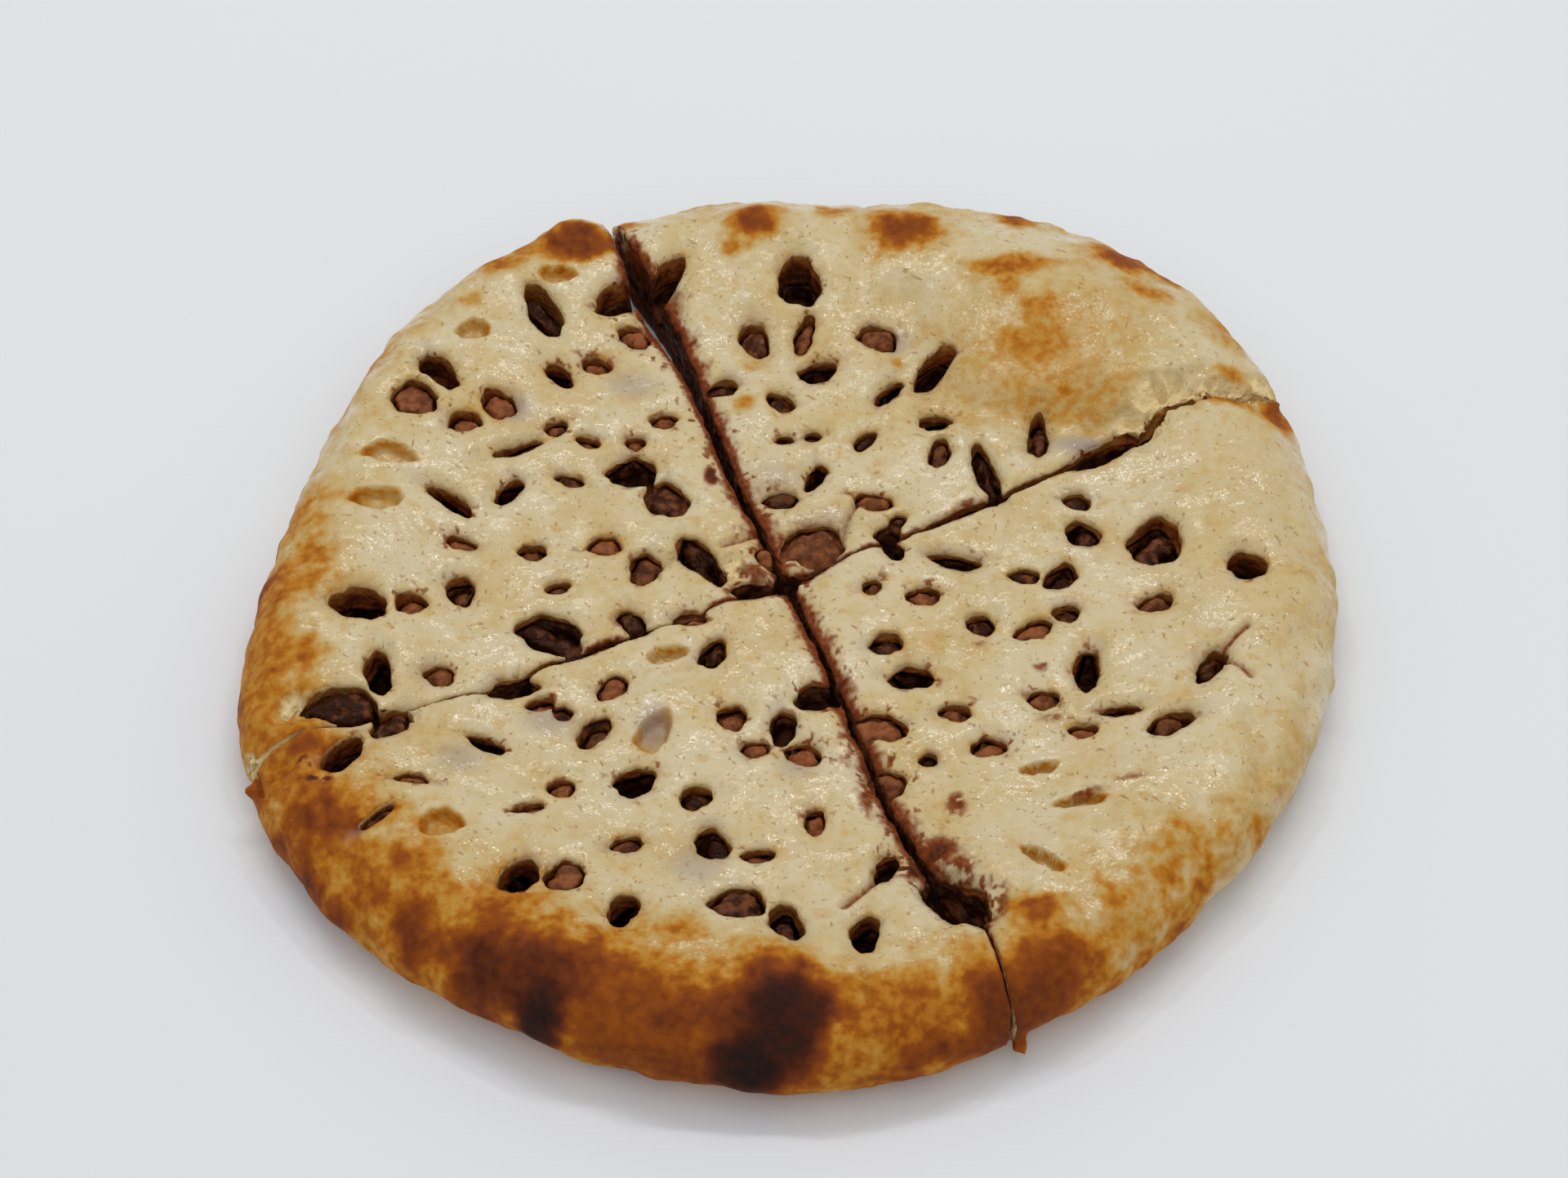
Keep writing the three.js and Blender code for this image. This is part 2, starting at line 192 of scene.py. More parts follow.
SMALL_ROWS = [
    (-38, 56.5, 5, 4, 0), (-62, 40, 5.5, 4.8, 30), (-25, 43, 5, 4, 0), (-45, 41, 4, 3.8, 0),
    (-39, 37.5, 5, 2.5, -35), (-42, 28, 5.5, 2.7, -17), (-61, 11, 6, 2.5, -15), (-43, 1, 5, 2.5, 20),
    (-30, 37, 4, 3, 0), (-19, -5.5, 6, 3, 0), (-35, 11.5, 5.3, 4.8, 0), (-48, 9.5, 5, 4.2, 0),
    (-69, -4.5, 5, 4.8, 0), (-63, -20, 5.4, 4, 0), (-3, 47.5, 5.6, 4.2, -52), (-14, 52, 5.8, 3.6, 0),
    (12.7, 37.5, 5, 3, 55), (-2.4, 38, 4, 2.3, 0), (3, 39, 3.5, 2.5, 0), (18.5, 18, 3, 3, 0),
    (22.6, -1, 5.5, 4.6, 0), (15.7, -12, 5.5, 5, 0), (27.5, -28, 5.2, 4, 0), (32.7, -7.5, 5, 4.5, 0),
    (13.4, 1.5, 3.5, 3.4, 0), (51.4, 22, 5, 4, 0), (33, -35.5, 5.6, 4.5, 0), (48, -5, 4.4, 4.2, 0),
    (43, -25, 5, 4.6, 0), (41, 4, 5, 4, 0), (22.5, -38.5, 3.2, 3, 0), (49.5, -32.5, 4.5, 3.5, 0),
    (-11.5, -29, 5.3, 5, 0), (-7.4, -36, 4.5, 4, 0), (-17.5, -47, 5.2, 4.8, 0), (-66, -45, 5.5, 2.4, 0),
    (-29, -57, 5.6, 3.8, 30), (-6.8, -59.5, 5.6, 3, 0), (2.9, -52, 5.2, 3.5, 80), (-40.5, -45, 4.2, 4, 0),
    (-41, -28, 3.5, 3.4, 0), (-45, -26, 5, 3, 0), (-71, -54, 7, 2, 40), (-46, -50, 6, 2, 20),
]
DENT_ROWS = [
    (-46, 77, 7, 4.3, 5), (-61.5, 62.5, 6.5, 5.4, 40), (-75, 30, 10, 4.6, 3), (-76.5, 19, 9.3, 5.2, -3),
    (-25, -33, 9, 5.8, 70), (-60, -55.5, 7.2, 6.2, 20), (-23, -15, 8.2, 3.5, 11),
    (41.5, -41.5, 6.3, 2.8, 11), (41, -63, 8.6, 3.1, -41), (48, -50, 9, 3, 0),
]
HOLES = [
    Hole(*row, kind)
    for kind, rows in (
        (HoleKind.OPEN, OPEN_ROWS),
        (HoleKind.CHIP, CHIP_ROWS),
        (HoleKind.SMALL, SMALL_ROWS),
        (HoleKind.DENT, DENT_ROWS),
    )
    for row in rows
]

CUTS = {
    "right": [
        (0.5, 4.8, 1.5, 1.6), (8, 8.5, 0.9, 0.6), (19.9, 14, 0.9, 0.6), (29, 18.8, 2, 0.8),
        (34, 21.6, 2.2, 0.7), (40, 25, 1.4, 0.3), (50, 30.8, 1.8, 0.4), (57, 34, 3, 0.7),
        (62.5, 37, 1.4, 0.1), (66, 39.4, 0.8, 0), (71, 42.6, 0.7, 0), (88, 47.5, 0.9, 0), (110, 51, 3, 0),
    ],
    "back": [
        (-3, 5.8, 1.2, 2.4), (-8, 19, 1.5, 2.4), (-13, 32.5, 2, 2.3), (-19.4, 53, 2.6, 2.3),
        (-28, 73, 5, 2.8), (-35, 89.5, 2.6, 1), (-42, 111, 2.6, 0.2),
    ],
    "left": [
        (-4.4, 2.8, 0.6, 1.6), (-14, -2.3, 0.7, 0.6), (-26, -8.3, 0.7, 0.2), (-33, -11.6, 1.8, 0.6),
        (-40, -15, 2, 0.6), (-46, -18.2, 1, 0.2), (-51, -21, 1.8, 0.3), (-57, -23.6, 0.6, 0.1),
        (-73, -31, 0.6, 0.1), (-86, -36, 0.5, 0), (-92, -38.2, 0.7, 0), (-96.5, -39.8, 2.4, 0),
        (-110, -45, 3.5, 0),
    ],
    "front": [
        (-1.2, 1.4, 1.4, 2.4), (3, -11, 1.2, 2.6), (9.7, -30.2, 1.2, 2.3), (17, -52, 1.4, 2.6),
        (24, -65, 1.5, 3), (28.5, -71, 1.5, 3), (31.7, -80, 0.5, 0.6), (34.8, -92, 0.4, 0.1),
        (38, -112, 0.4, 0.1),
    ],
}


def smoothstep(value: Array, low: float, high: float) -> Array:
    """Eases from 0 at low to 1 at high."""
    share = np.clip((value - low) / (high - low), 0, 1)
    return share * share * (3 - 2 * share)


def fade(distance: Array, reach: float) -> Array:
    """Falls from 1 at no distance to 0 past the reach."""
    return np.exp(-((distance / reach) ** 2))


def polar(points: Array) -> tuple[Array, Array]:
    """Angle and distance of each point round the upright axis."""
    return np.arctan2(points[:, 1], points[:, 0]), np.hypot(points[:, 0], points[:, 1])


def grain(points: Array, size: float, seed: float, octaves: int = 3) -> Array:
    """Smooth noise of a given grain size.

    Args:
        points: Points in millimetres, one a row.
        size: Width of the largest lumps in millimetres.
        seed: Offset that gives each use its own noise.
        octaves: How many finer layers are added.

    Returns:
        One value for each point, mostly between -1 and 1.
    """
    total = np.zeros(len(points))
    for octave in range(octaves):
        spot = points / size * 2**octave + seed
        cell = np.floor(spot).astype(np.int64)
        part = (spot - cell).T
        ease = part**3 * (part * (part * 6 - 15) + 10)
        for corner in itertools.product((0, 1), repeat=3):
            key = (cell + corner) @ np.array([73856093, 19349663, 83492791])
            key = (key ^ (key >> 15)) * 741103597 & 0xFFFFFFFF
            key = (key ^ (key >> 12)) * 695872825 & 0xFFFFFFFF
            weight = 1.5 / 2**octave
            slope = 0.0
            for axis, far in enumerate(corner):
                weight = weight * (ease[axis] if far else 1 - ease[axis])
                slope = slope + (part[axis] - far) * ((key >> 8 * axis & 255) / 127.5 - 1)
            total += weight * slope
    return total


class Grain(Enum):
    """Layers of noise: width of the lumps in millimetres, an offset of their own and how many finer ones."""

    CUT_WANDER = (4.5, 3.7, 3)
    SWELL = (12.0, 1.3, 2)
    RIPPLE = (4.5, 8.1, 2)
    RIM_LUMP = (10.0, 5.9, 3)
    CRUMB = (1.6, 2.2, 2)
    CRATER = (2.5, 17.7, 3)
    TORN_EDGE = (3.0, 51.9, 2)
    TORN_DEPTH = (2.8, 6.8, 2)
    BAKE_COARSE = (14.0, 4.4, 3)
    BAKE_FINE = (4.5, 9.3, 3)
    WARP_RIGHT = (6.0, 11.2, 3)
    WARP_BACK = (6.0, 15.8, 3)
    STAIN_ROUGH = (4.0, 21.4, 3)
    STAIN_FINE = (1.7, 27.5, 2)
    STAIN_PATCH = (9.0, 41.3, 2)
    STAIN_SPECK = (1.6, 71.3, 2)
    SOAK = (3.0, 61.7, 2)
    VEIL = (7.0, 33.1, 3)
    CHOCOLATE_LUMP = (3.0, 31.3, 2)
    CHOCOLATE_RIPPLE = (1.5, 36.1, 2)

    def at(self, points: Array) -> Array:
        """The noise at each point, mostly between -1 and 1."""
        return grain(points, *self.value)


@dataclass(frozen=True)
class LoafForm:
    """The bread's outline and thickness, in millimetres."""

    mean_radius: float = 101.5
    waves: tuple = ((1, 2.75, 102), (2, 4.5, 65.5), (3, 0.55, 22), (4, 1.7, 37.5), (5, 1.7, -16))
    foot_roll: float = 9
    crown_roll: float = 15
    edge_share: float = 0.42
    middle_height: float = 13
    rim_rise: float = 4.5
    rise_start: float = 0.56
    rise_end: float = 0.86
    puffs: tuple = (
        (45, 64, 25, 6.5), (-6, 84, 22, 1.5), (-45, 91, 7, 5.5), (-58, 79, 7, 2), (-8.5, 94, 8, 2.6),
        (21.5, 90, 9, 1.8), (-4, -88, 11, 2), (-44, -84, 12, 1.4), (78, 16, 17, 1.2), (36, -84, 10, 1.2),
    )
    filling_floor: float = 4
    filling_top: float = 9.6
    filling_inset: float = 11
    clearance: float = 0.35
    outline_spokes: int = 84
    underside_step: float = 4
    foot_points: int = 9
    crown_points: int = 14
    top_step: float = 2
    filling_step: float = 6

    def outline_radius(self, angle: Array) -> Array:
        """Radius of the outline at each angle."""
        radius = self.mean_radius
        for count, swell, crest in self.waves:
            radius = radius + swell * np.cos(count * (angle - math.radians(crest)))
        return radius

    def middle(self) -> Array:
        """Middle of the outline's box, which is the origin of the finished bread."""
        angle = np.linspace(0, 2 * math.pi, self.outline_spokes, endpoint=False)
        radius = self.outline_radius(angle)
        right = radius * np.cos(angle)
        back = radius * np.sin(angle)
        return np.array([(right.min() + right.max()) / 2, (back.min() + back.max()) / 2, 0])

    def rim_share(self, points: Array) -> Array:
        """Share of the way from the middle to the outline."""
        angle, reach = polar(points)
        return reach / self.outline_radius(angle)

    def top_height(self, points: Array) -> Array:
        """Height of the crust above the underside at each point."""
        height = self.middle_height + self.rim_rise * smoothstep(
            self.rim_share(points), self.rise_start, self.rise_end
        )
        for x, y, reach, rise in self.puffs:
            distance = (points[:, 0] - x) ** 2 + (points[:, 1] - y) ** 2
            height = height + rise * np.exp(-distance / reach**2)
        return height

    def loaf_section(self) -> list[tuple[float, float]]:
        """Half section of the loaf on the mean circle, from the underside's middle to the top's."""
        radius = self.mean_radius
        height = self.middle_height
        section = [(float(r), 0.0) for r in np.arange(0, radius - self.foot_roll, self.underside_step)]
        for turn in np.radians(np.linspace(0, 90, self.foot_points)):
            out = radius - self.foot_roll * (1 - math.sin(turn))
            section.append((out, height * self.edge_share * (1 - math.cos(turn))))
        for turn in np.radians(np.linspace(0, 90, self.crown_points))[1:]:
            share = self.edge_share + (1 - self.edge_share) * math.sin(turn)
            section.append((radius - self.crown_roll * (1 - math.cos(turn)), height * share))
        shoulder = radius - self.crown_roll - self.top_step
        section += [(float(r), height) for r in np.arange(shoulder, 0, -self.top_step)]
        return section + [(0.0, height)]

    def place_loaf(self, points: Array) -> Array:
        """Moves a turned section to the uneven outline and its own heights."""
        angle, reach = polar(points)
        reach = reach / self.mean_radius * self.outline_radius(angle)
        placed = np.column_stack([reach * np.cos(angle), reach * np.sin(angle), points[:, 2]])
        placed[:, 2] *= self.top_height(placed) / self.middle_height
        return placed

    def filling_section(self, clearance: float) -> list[tuple[float, float]]:
        """Half section of the space for the filling, or with a clearance of the filling itself."""
        reach = self.mean_radius - self.filling_inset
        floor = self.filling_floor + clearance
        top = self.filling_top - clearance
        ring = [float(r) for r in np.arange(0, reach, self.filling_step)] + [reach]
        return [(r, floor) for r in ring] + [(r, top) for r in reversed(ring)]

    def place_filling(self, points: Array, clearance: float) -> Array:
        """Moves a turned filling section to the uneven outline."""
        angle, reach = polar(points)
        inner = self.outline_radius(angle) - self.filling_inset - clearance
        reach = reach / (self.mean_radius - self.filling_inset) * inner
        return np.column_stack([reach * np.cos(angle), reach * np.sin(angle), points[:, 2]])


FORM = LoafForm()
MIDDLE = FORM.middle()


def deselect_all() -> None:
    """Leaves edit mode and deselects every object."""
    if bpy.context.object is not None and bpy.context.object.mode != "OBJECT":
        bpy.ops.object.mode_set(mode="OBJECT")
    bpy.ops.object.select_all(action="DESELECT")


def take(body: Body) -> None:
    """Makes one object the only selected and the active one."""
    deselect_all()
    body.select_set(True)
    bpy.context.view_layer.objects.active = body


def points_of(body: Body) -> Array:
    """Vertices in millimetres, in the frame of the sizes above."""
    flat = np.empty(len(body.data.vertices) * 3)
    body.data.vertices.foreach_get("co", flat)
    return flat.reshape(-1, 3) / MM + MIDDLE


def move_points(body: Body, points: Array) -> None:
    """Puts the vertices at points given in millimetres."""
    body.data.vertices.foreach_set("co", ((points - MIDDLE) * MM).ravel())
    body.data.update()


def normals_of(body: Body) -> Array:
    """Outward direction at each vertex."""
    flat = np.empty(len(body.data.vertices) * 3)
    body.data.vertex_normals.foreach_get("vector", flat)
    return flat.reshape(-1, 3)


def copy_of(body: Body, name: str) -> Body:
    """A copy with its own mesh."""
    twin = body.copy()
    twin.data = body.data.copy()
    twin.name = name
    twin.data.name = name
    bpy.context.collection.objects.link(twin)
    return twin


def joined(bodies: list[Body], name: str) -> Body:
    """Joins bodies into the first one.

    Args:
        bodies: Meshes to join.
        name: Name of the joined body.

    Returns:
        The joined body.
    """
    take(bodies[0])
    for body in bodies:
        body.select_set(True)
    bpy.ops.object.join()
    bodies[0].name = name
    return bodies[0]


def discard(*bodies: Body) -> None:
    """Removes bodies that were only tools."""
    for body in bodies:
        bpy.data.meshes.remove(body.data)


def finish_with(body: Body, kind: str, **settings: object) -> None:
    """Adds a modifier, sets it and applies it.

    Args:
        body: Mesh to change.
        kind: Modifier type.
        settings: Values set on the modifier.
    """
    take(body)
    bpy.ops.object.modifier_add(type=kind)
    modifier = body.modifiers[-1]
    for key, value in settings.items():
        setattr(modifier, key, value)
    bpy.ops.object.modifier_apply(modifier=modifier.name)


def combine(body: Body, tool: Body, operation: str) -> None:
    """Boolean of a body with a tool, applied."""
    finish_with(body, "BOOLEAN", operation=operation, solver="MANIFOLD", object=tool)


def quarter_of(whole: Body, prism: Body, name: str, voxel: float, passes: int) -> Body:
    """Cuts a quarter out of a body and gives it evenly small faces.

    Args:
        whole: The body in one piece.
        prism: The upright prism over the quarter.
        name: Name of the quarter.
        voxel: Size of its faces in millimetres.
        passes: How often it is smoothed.

    Returns:
        The quarter.
    """
    body = copy_of(whole, name)
    combine(body, prism, "INTERSECT")
    finish_with(body, "REMESH", mode="VOXEL", voxel_size=voxel * MM)
    finish_with(body, "SMOOTH", factor=0.5, iterations=passes)
    return body


def paint(body: Body, name: str, values: Array) -> None:
    """Stores one value for each vertex."""
    layer = body.data.attributes.new(name, "FLOAT", "POINT")
    layer.data.foreach_set("value", values.astype(np.float32))


def spun(name: str, section: list[tuple[float, float]], steps: int) -> Body:
    """Extrudes one vertex along a half section and spins it about the upright axis.

    Args:
        name: Name of the body.
        section: Radius and height of each point in millimetres.
        steps: How many steps the spin takes.

    Returns:
        A closed body about the origin.
    """
    deselect_all()
    bpy.ops.mesh.primitive_plane_add(size=MM)
    body = bpy.context.object
    body.name = name
    bpy.ops.object.mode_set(mode="EDIT")
    bpy.ops.mesh.select_all(action="SELECT")
    bpy.ops.mesh.merge(type="CENTER")
    bpy.ops.transform.translate(value=(section[0][0] * MM, 0, section[0][1] * MM))
    for (radius, height), (next_radius, next_height) in zip(section, section[1:]):
        step = ((next_radius - radius) * MM, 0, (next_height - height) * MM)
        bpy.ops.mesh.extrude_vertices_move(TRANSFORM_OT_translate={"value": step})
    bpy.ops.mesh.select_all(action="SELECT")
    bpy.ops.mesh.spin(steps=steps, angle=2 * math.pi, center=(0, 0, 0), axis=(0, 0, 1))
    bpy.ops.mesh.select_all(action="SELECT")
    bpy.ops.mesh.remove_doubles(threshold=MM / 100)
    bpy.ops.mesh.normals_make_consistent(inside=False)
    bpy.ops.object.mode_set(mode="OBJECT")
    return body


def raw_points(body: Body) -> Array:
    """Vertices of a body about the origin, in millimetres."""
    return points_of(body) - MIDDLE


def upright_prism(name: str, outline: Array, low: float, high: float) -> Body:
    """A circle moved to an outline and extruded upwards.

    Args:
        name: Name of the prism.
        outline: Corners in millimetres, one a row.
        low: Height of its underside.
        high: Height of its top.

    Returns:
        A closed prism.
    """
    deselect_all()
    bpy.ops.mesh.primitive_circle_add(vertices=len(outline), radius=MM, fill_type="NGON")
    prism = bpy.context.object
    prism.name = name
    move_points(prism, np.column_stack([outline, np.full(len(outline), low)]))
    bpy.ops.object.mode_set(mode="EDIT")
    bpy.ops.mesh.select_all(action="SELECT")
    bpy.ops.mesh.extrude_region_move(TRANSFORM_OT_translate={"value": (0, 0, (high - low) * MM)})
    bpy.ops.mesh.select_all(action="SELECT")
    bpy.ops.mesh.normals_make_consistent(inside=False)
    bpy.ops.object.mode_set(mode="OBJECT")
    return prism


@dataclass(frozen=True)
class CutLines:
    """The four cuts from the crossing out past the rim, with their gaps, in millimetres."""

    spacing: float = 0.6
    wander: float = 0.45
    least_half: float = 0.1
    outer_reach: float = 150
    prism_low: float = -10
    prism_high: float = 50

    def line(self, name: str) -> Array:
        """A cut as points on a smooth line: x, y and gap."""
        rows = np.array(CUTS[name], dtype=float)
        padded = np.vstack([2 * rows[0] - rows[1], rows, 2 * rows[-1] - rows[-2]])
        pieces = []
        for before, start, end, after in zip(padded, padded[1:], padded[2:], padded[3:]):
            count = max(2, int(np.linalg.norm(end[:2] - start[:2]) / self.spacing))
            step = np.linspace(0, 1, count, endpoint=False)[:, None]
            bend = 2 * before - 5 * start + 4 * end - after
            twist = 3 * start - before - 3 * end + after
            pieces.append(0.5 * (2 * start + (end - before) * step + bend * step**2 + twist * step**3))
        return np.vstack(pieces + [rows[-1:]])

    def side(self, name: str, side: int) -> Array:
        """One ragged side of a cut, half a gap away from its line.

        Args:
            name: Which cut.
            side: 1 for the anticlockwise side, -1 for the other.

        Returns:
            Points x and y.
        """
        line = self.line(name)
        along = np.gradient(line[:, :2], axis=0)
        along /= np.linalg.norm(along, axis=1)[:, None]
        spot = np.column_stack([line[:, :2], np.full(len(line), 7.0 * side)])
        ragged = self.wander * Grain.CUT_WANDER.at(spot)
        offset = side * np.maximum(line[:, 2] / 2 + ragged, self.least_half)
        return line[:, :2] + np.column_stack([-along[:, 1], along[:, 0]]) * offset[:, None]

    def quarter_prism(self, quarter: Quarter) -> Body:
        """Upright prism over one quarter."""
        first, second = quarter.value
        outward = self.side(first, 1)
        inward = self.side(second, -1)[::-1]
        corner = outward[-1] + inward[0]
        corner *= self.outer_reach / np.linalg.norm(corner)
        outline = np.vstack([outward, corner, inward])
        return upright_prism("quarter_prism", outline, self.prism_low, self.prism_high)

    def survey(self, points: Array) -> tuple[Array, Array]:
        """Looks up the nearest cut from above.

        Args:
            points: Points in millimetres, one a row.

        Returns:
            Distance of each point from the cut's edge and the width of the chocolate smeared along it.
        """
        lines = np.vstack([self.line(name) for name in CUTS])
        tree = KDTree(len(lines))
        for index, (x, y) in enumerate(lines[:, :2]):
            tree.insert((x, y, 0), index)
        tree.balance()
        found = [tree.find((x, y, 0)) for x, y in points[:, :2]]
        index = np.array([hit[1] for hit in found])
        away = np.array([hit[2] for hit in found])
        return away - lines[index, 2] / 2, lines[index, 3]


@dataclass(frozen=True)
class Punches:
    """Upright cutters for the holes, modelled once and copied, each with its own torn edge."""

    sides: int = 36
    top: float = 26
    flare: float = 1.2

    def pattern(self) -> Body:
        """The cutter that is copied: a cylinder that widens upwards, 1 mm in radius and height."""
        deselect_all()
        bpy.ops.mesh.primitive_cylinder_add(vertices=self.sides, radius=MM, depth=MM, location=(0, 0, MM / 2))
        cutter = bpy.context.object
        bpy.ops.object.transform_apply(location=True, rotation=True, scale=True)
        for polygon in cutter.data.polygons:
            polygon.select = polygon.normal.z > 0.9
        bpy.ops.object.mode_set(mode="EDIT")
        bpy.ops.transform.resize(value=(self.flare, self.flare, 1), center_override=(0, 0, MM))
        bpy.ops.object.mode_set(mode="OBJECT")
        return cutter

    def cutters(self, kind: HoleKind, floor: float, size: float) -> Body:
        """The cutters for all holes of a kind, as one body.

        Args:
            kind: Which holes.
            floor: How deep they reach.
            size: Their size as a share of the hole.

        Returns:
            The joined cutters.
        """
        pattern = self.pattern()
        unit = raw_points(pattern)
        around = polar(unit)[0]
        made = []
        for hole in HOLES:
            if hole.kind is not kind:
                continue
            flat = unit[:, :2] * hole.torn(around)[:, None] * np.array([hole.length, hole.width]) / 2 * size
            cutter = copy_of(pattern, "hole_cutter")
            move_points(cutter, hole.placed(flat, floor + unit[:, 2] * (self.top - floor)))
            made.append(cutter)
        discard(pattern)
        return joined(made, "hole_cutters")


@dataclass(frozen=True)
class Loaf:
    """The whole crust before it is cut: the turned loaf, its flakes, the filling's space and its holes."""

    steps: int = 240
    hole_size: float = 0.94
    flakes: tuple = (
        ((-91.2, -41.6, 8.2), (9, 9, 8), -172), ((36, -91, 3.8), (6, 3.6, 3), -68),
        ((88.6, 45.4, 13), (5.4, 5, 4.4), 27),
    )
    flake_taper: float = 1.2
    flake_rough: float = 0.35
    flake_grain: float = 0.5

    def whole(self) -> Body:
        """The loaf with a plain crust."""
        body = spun("loaf", FORM.loaf_section(), self.steps)
        move_points(body, FORM.place_loaf(raw_points(body)))
        return body

    def flake(self, at: tuple, size: tuple, turn: float) -> Body:
        """A torn flake of crust at the end of a cut.

        Args:
            at: Its middle.
            size: Its length, width and height.
            turn: Where its tip points, in degrees.

        Returns:
            A rough lump that tapers to its tip.
        """
        deselect_all()
        bpy.ops.mesh.primitive_ico_sphere_add(subdivisions=4, radius=MM / 2)
        body = bpy.context.object
        points = raw_points(body)
        points *= (1 + self.flake_rough * grain(points, self.flake_grain, at[0]))[:, None]
        points[:, 1:] *= (1 - self.flake_taper * points[:, :1])
        points *= np.array(size)
        angle = math.radians(turn)
        spin = np.array([
            [math.cos(angle), math.sin(angle), 0],
            [-math.sin(angle), math.cos(angle), 0],
            [0, 0, 1],
        ])
        move_points(body, points @ spin + np.array(at))
        return body

    def hollowed(self) -> Body:
        """The crust with the space for its filling and its holes, still in one piece."""
        body = self.whole()
        for at, size, turn in self.flakes:
            self.take_or_add(body, self.flake(at, size, turn), "UNION")
        hollow = spun("filling_space", FORM.filling_section(0), self.steps)
        move_points(hollow, FORM.place_filling(raw_points(hollow), 0))
        self.take_or_add(body, hollow, "DIFFERENCE")
        for kind in (HoleKind.OPEN, HoleKind.CHIP, HoleKind.SMALL):
            floor = FORM.filling_floor if kind is HoleKind.CHIP else FORM.filling_top - FORM.clearance
            self.take_or_add(body, Punches().cutters(kind, floor, self.hole_size), "DIFFERENCE")
        return body

    def take_or_add(self, body: Body, tool: Body, operation: str) -> None:
        """Combines the loaf with a tool and discards the tool."""
        combine(body, tool, operation)
        discard(tool)


@dataclass(frozen=True)
class Blotch:
    """A browned or stained patch: middle, reach along x, reach across it, and how strong it is."""

    x: float
    y: float
    z: float
    along: float
    across: float
    strength: float

    def weight(self, points: Array) -> Array:
        """1 in the middle of the patch, fading to 0 past its reach."""
        flat = ((points[:, 0] - self.x) / self.along) ** 2
        steep = ((points[:, 1] - self.y) ** 2 + (points[:, 2] - self.z) ** 2) / self.across**2
        return np.exp(-((flat + steep) ** 1.5) * 0.6)


def patches(*rows: tuple) -> list[Blotch]:
    """Patches from rows of their values."""
    return [Blotch(*row) for row in rows]


BROWNED_AND_SHADED = patches(
    # Browned patches of the crust. The second and third rows, on the bubble's lower front slope, are partly
    # its golden crust and partly painted shade on that slope.
    (48, 57, 20, 18, 13, 0.26), (49, 46, 17, 14, 6, 0.33), (34, 47, 16.5, 9, 7, 0.24),
    (50, 47, 17.4, 1.2, 1, 0.45), (80, 15, 17, 14, 25, 0.12), (-43, -92, 10, 3, 4, 1.0),
    (36.5, -94, 4.5, 4, 4, 0.44), (-93.5, -42.5, 10, 5, 4.4, 0.58), (17, -92.5, 16.5, 8, 5.5, 0.5),
    (29, -84, 17.5, 4, 3, 0.4), (-60, -71, 17, 5, 3, 0.42), (-24, -93, 14, 9, 8, 0.59),
    (-88, -43, 15, 7, 5, 0.48), (-80, -56, 16, 4.4, 4, 0.56), (-66, -65, 17, 2.4, 2.8, 0.55),
    (-70, -70, 15, 2.6, 2.2, 0.55), (-64, -76, 14, 2.4, 4.8, 0.66), (-52, -83, 15, 4.3, 5.2, 0.8),
    (-50, -75, 18, 2.8, 3.8, 0.56), (-42, -91, 13, 3.9, 4.9, 0.97), (-43, -85.5, 17.4, 5.3, 3.9, 0.76),
    (-36, -86, 17, 5.2, 3.4, 0.64), (-20, -94, 16, 5.3, 3.2, 0.66), (-3, -96, 17, 7.6, 9.5, 0.92),
    (-8, -101, 11, 5.5, 5.6, 1.0), (-20, -78, 17, 3.4, 3.2, 0.45), (31, -91, 14, 4.2, 5.3, 0.7),
    (39, -89, 12, 5.3, 6.4, 0.68), (43, -84, 15, 6.2, 4.4, 0.65), (39, -74, 18, 4.8, 3.2, 0.56),
    (-43, 85, 19, 5.9, 4.8, 0.68), (-8, 89, 21, 5, 4.2, 0.62), (-12, 83, 19, 2.4, 1.8, 0.4),
    (21, 87, 20, 6.8, 6, 0.62), (43, 92, 18, 3.9, 4.6, 0.6), (7, 96, 17, 3.6, 3.4, 0.45),
    (-10, 47, 13, 2.1, 2.1, 0.42), (-8, 57, 13, 2.5, 2, 0.28), (20, 58, 15, 1.5, 1.3, 0.38),
    (41, 75, 22, 9.2, 2.6, 0.5), (40, 70, 22, 2.2, 3, 0.45), (46, 64, 22, 3.5, 3, 0.42),
    (44, 56, 20, 7.7, 3.5, 0.42), (63, 80, 18, 6.7, 6, 0.58), (71, 79, 14, 3.4, 3.9, 0.56),
    (68, 70, 20, 6.1, 2.8, 0.45), (81, 63, 15, 4.7, 4.4, 0.34), (82, 50, 17, 5, 2, 0.4),
    (80, 43.4, 17.6, 7.5, 1.6, 0.48), (90, 44, 14, 3.4, 5.6, 0.56), (-87, 6, 17, 2.5, 3.1, 0.46),
    (-86, -19, 17, 2.9, 3.5, 0.5), (-94, -15, 15, 3.6, 13, 0.43), (-94, -28, 15, 3.5, 11, 0.44),
    (-58, 80, 17, 3.9, 3.1, 0.5), (-53, 86, 16, 3.7, 3.6, 0.45), (-38, 85.6, 18.4, 3.4, 3.2, 0.6),
    (-32.8, 93, 16, 2.4, 2.6, 0.44), (-62.5, 71, 17.2, 2, 1.8, 0.42), (-31, -97, 8.6, 7.5, 3.4, 0.63),
    (-19, -100, 10, 5.6, 3.4, 0.65), (34, -93, 9, 4.8, 4.2, 0.7), (27, -96, 9, 4.2, 2.8, 0.64),
)
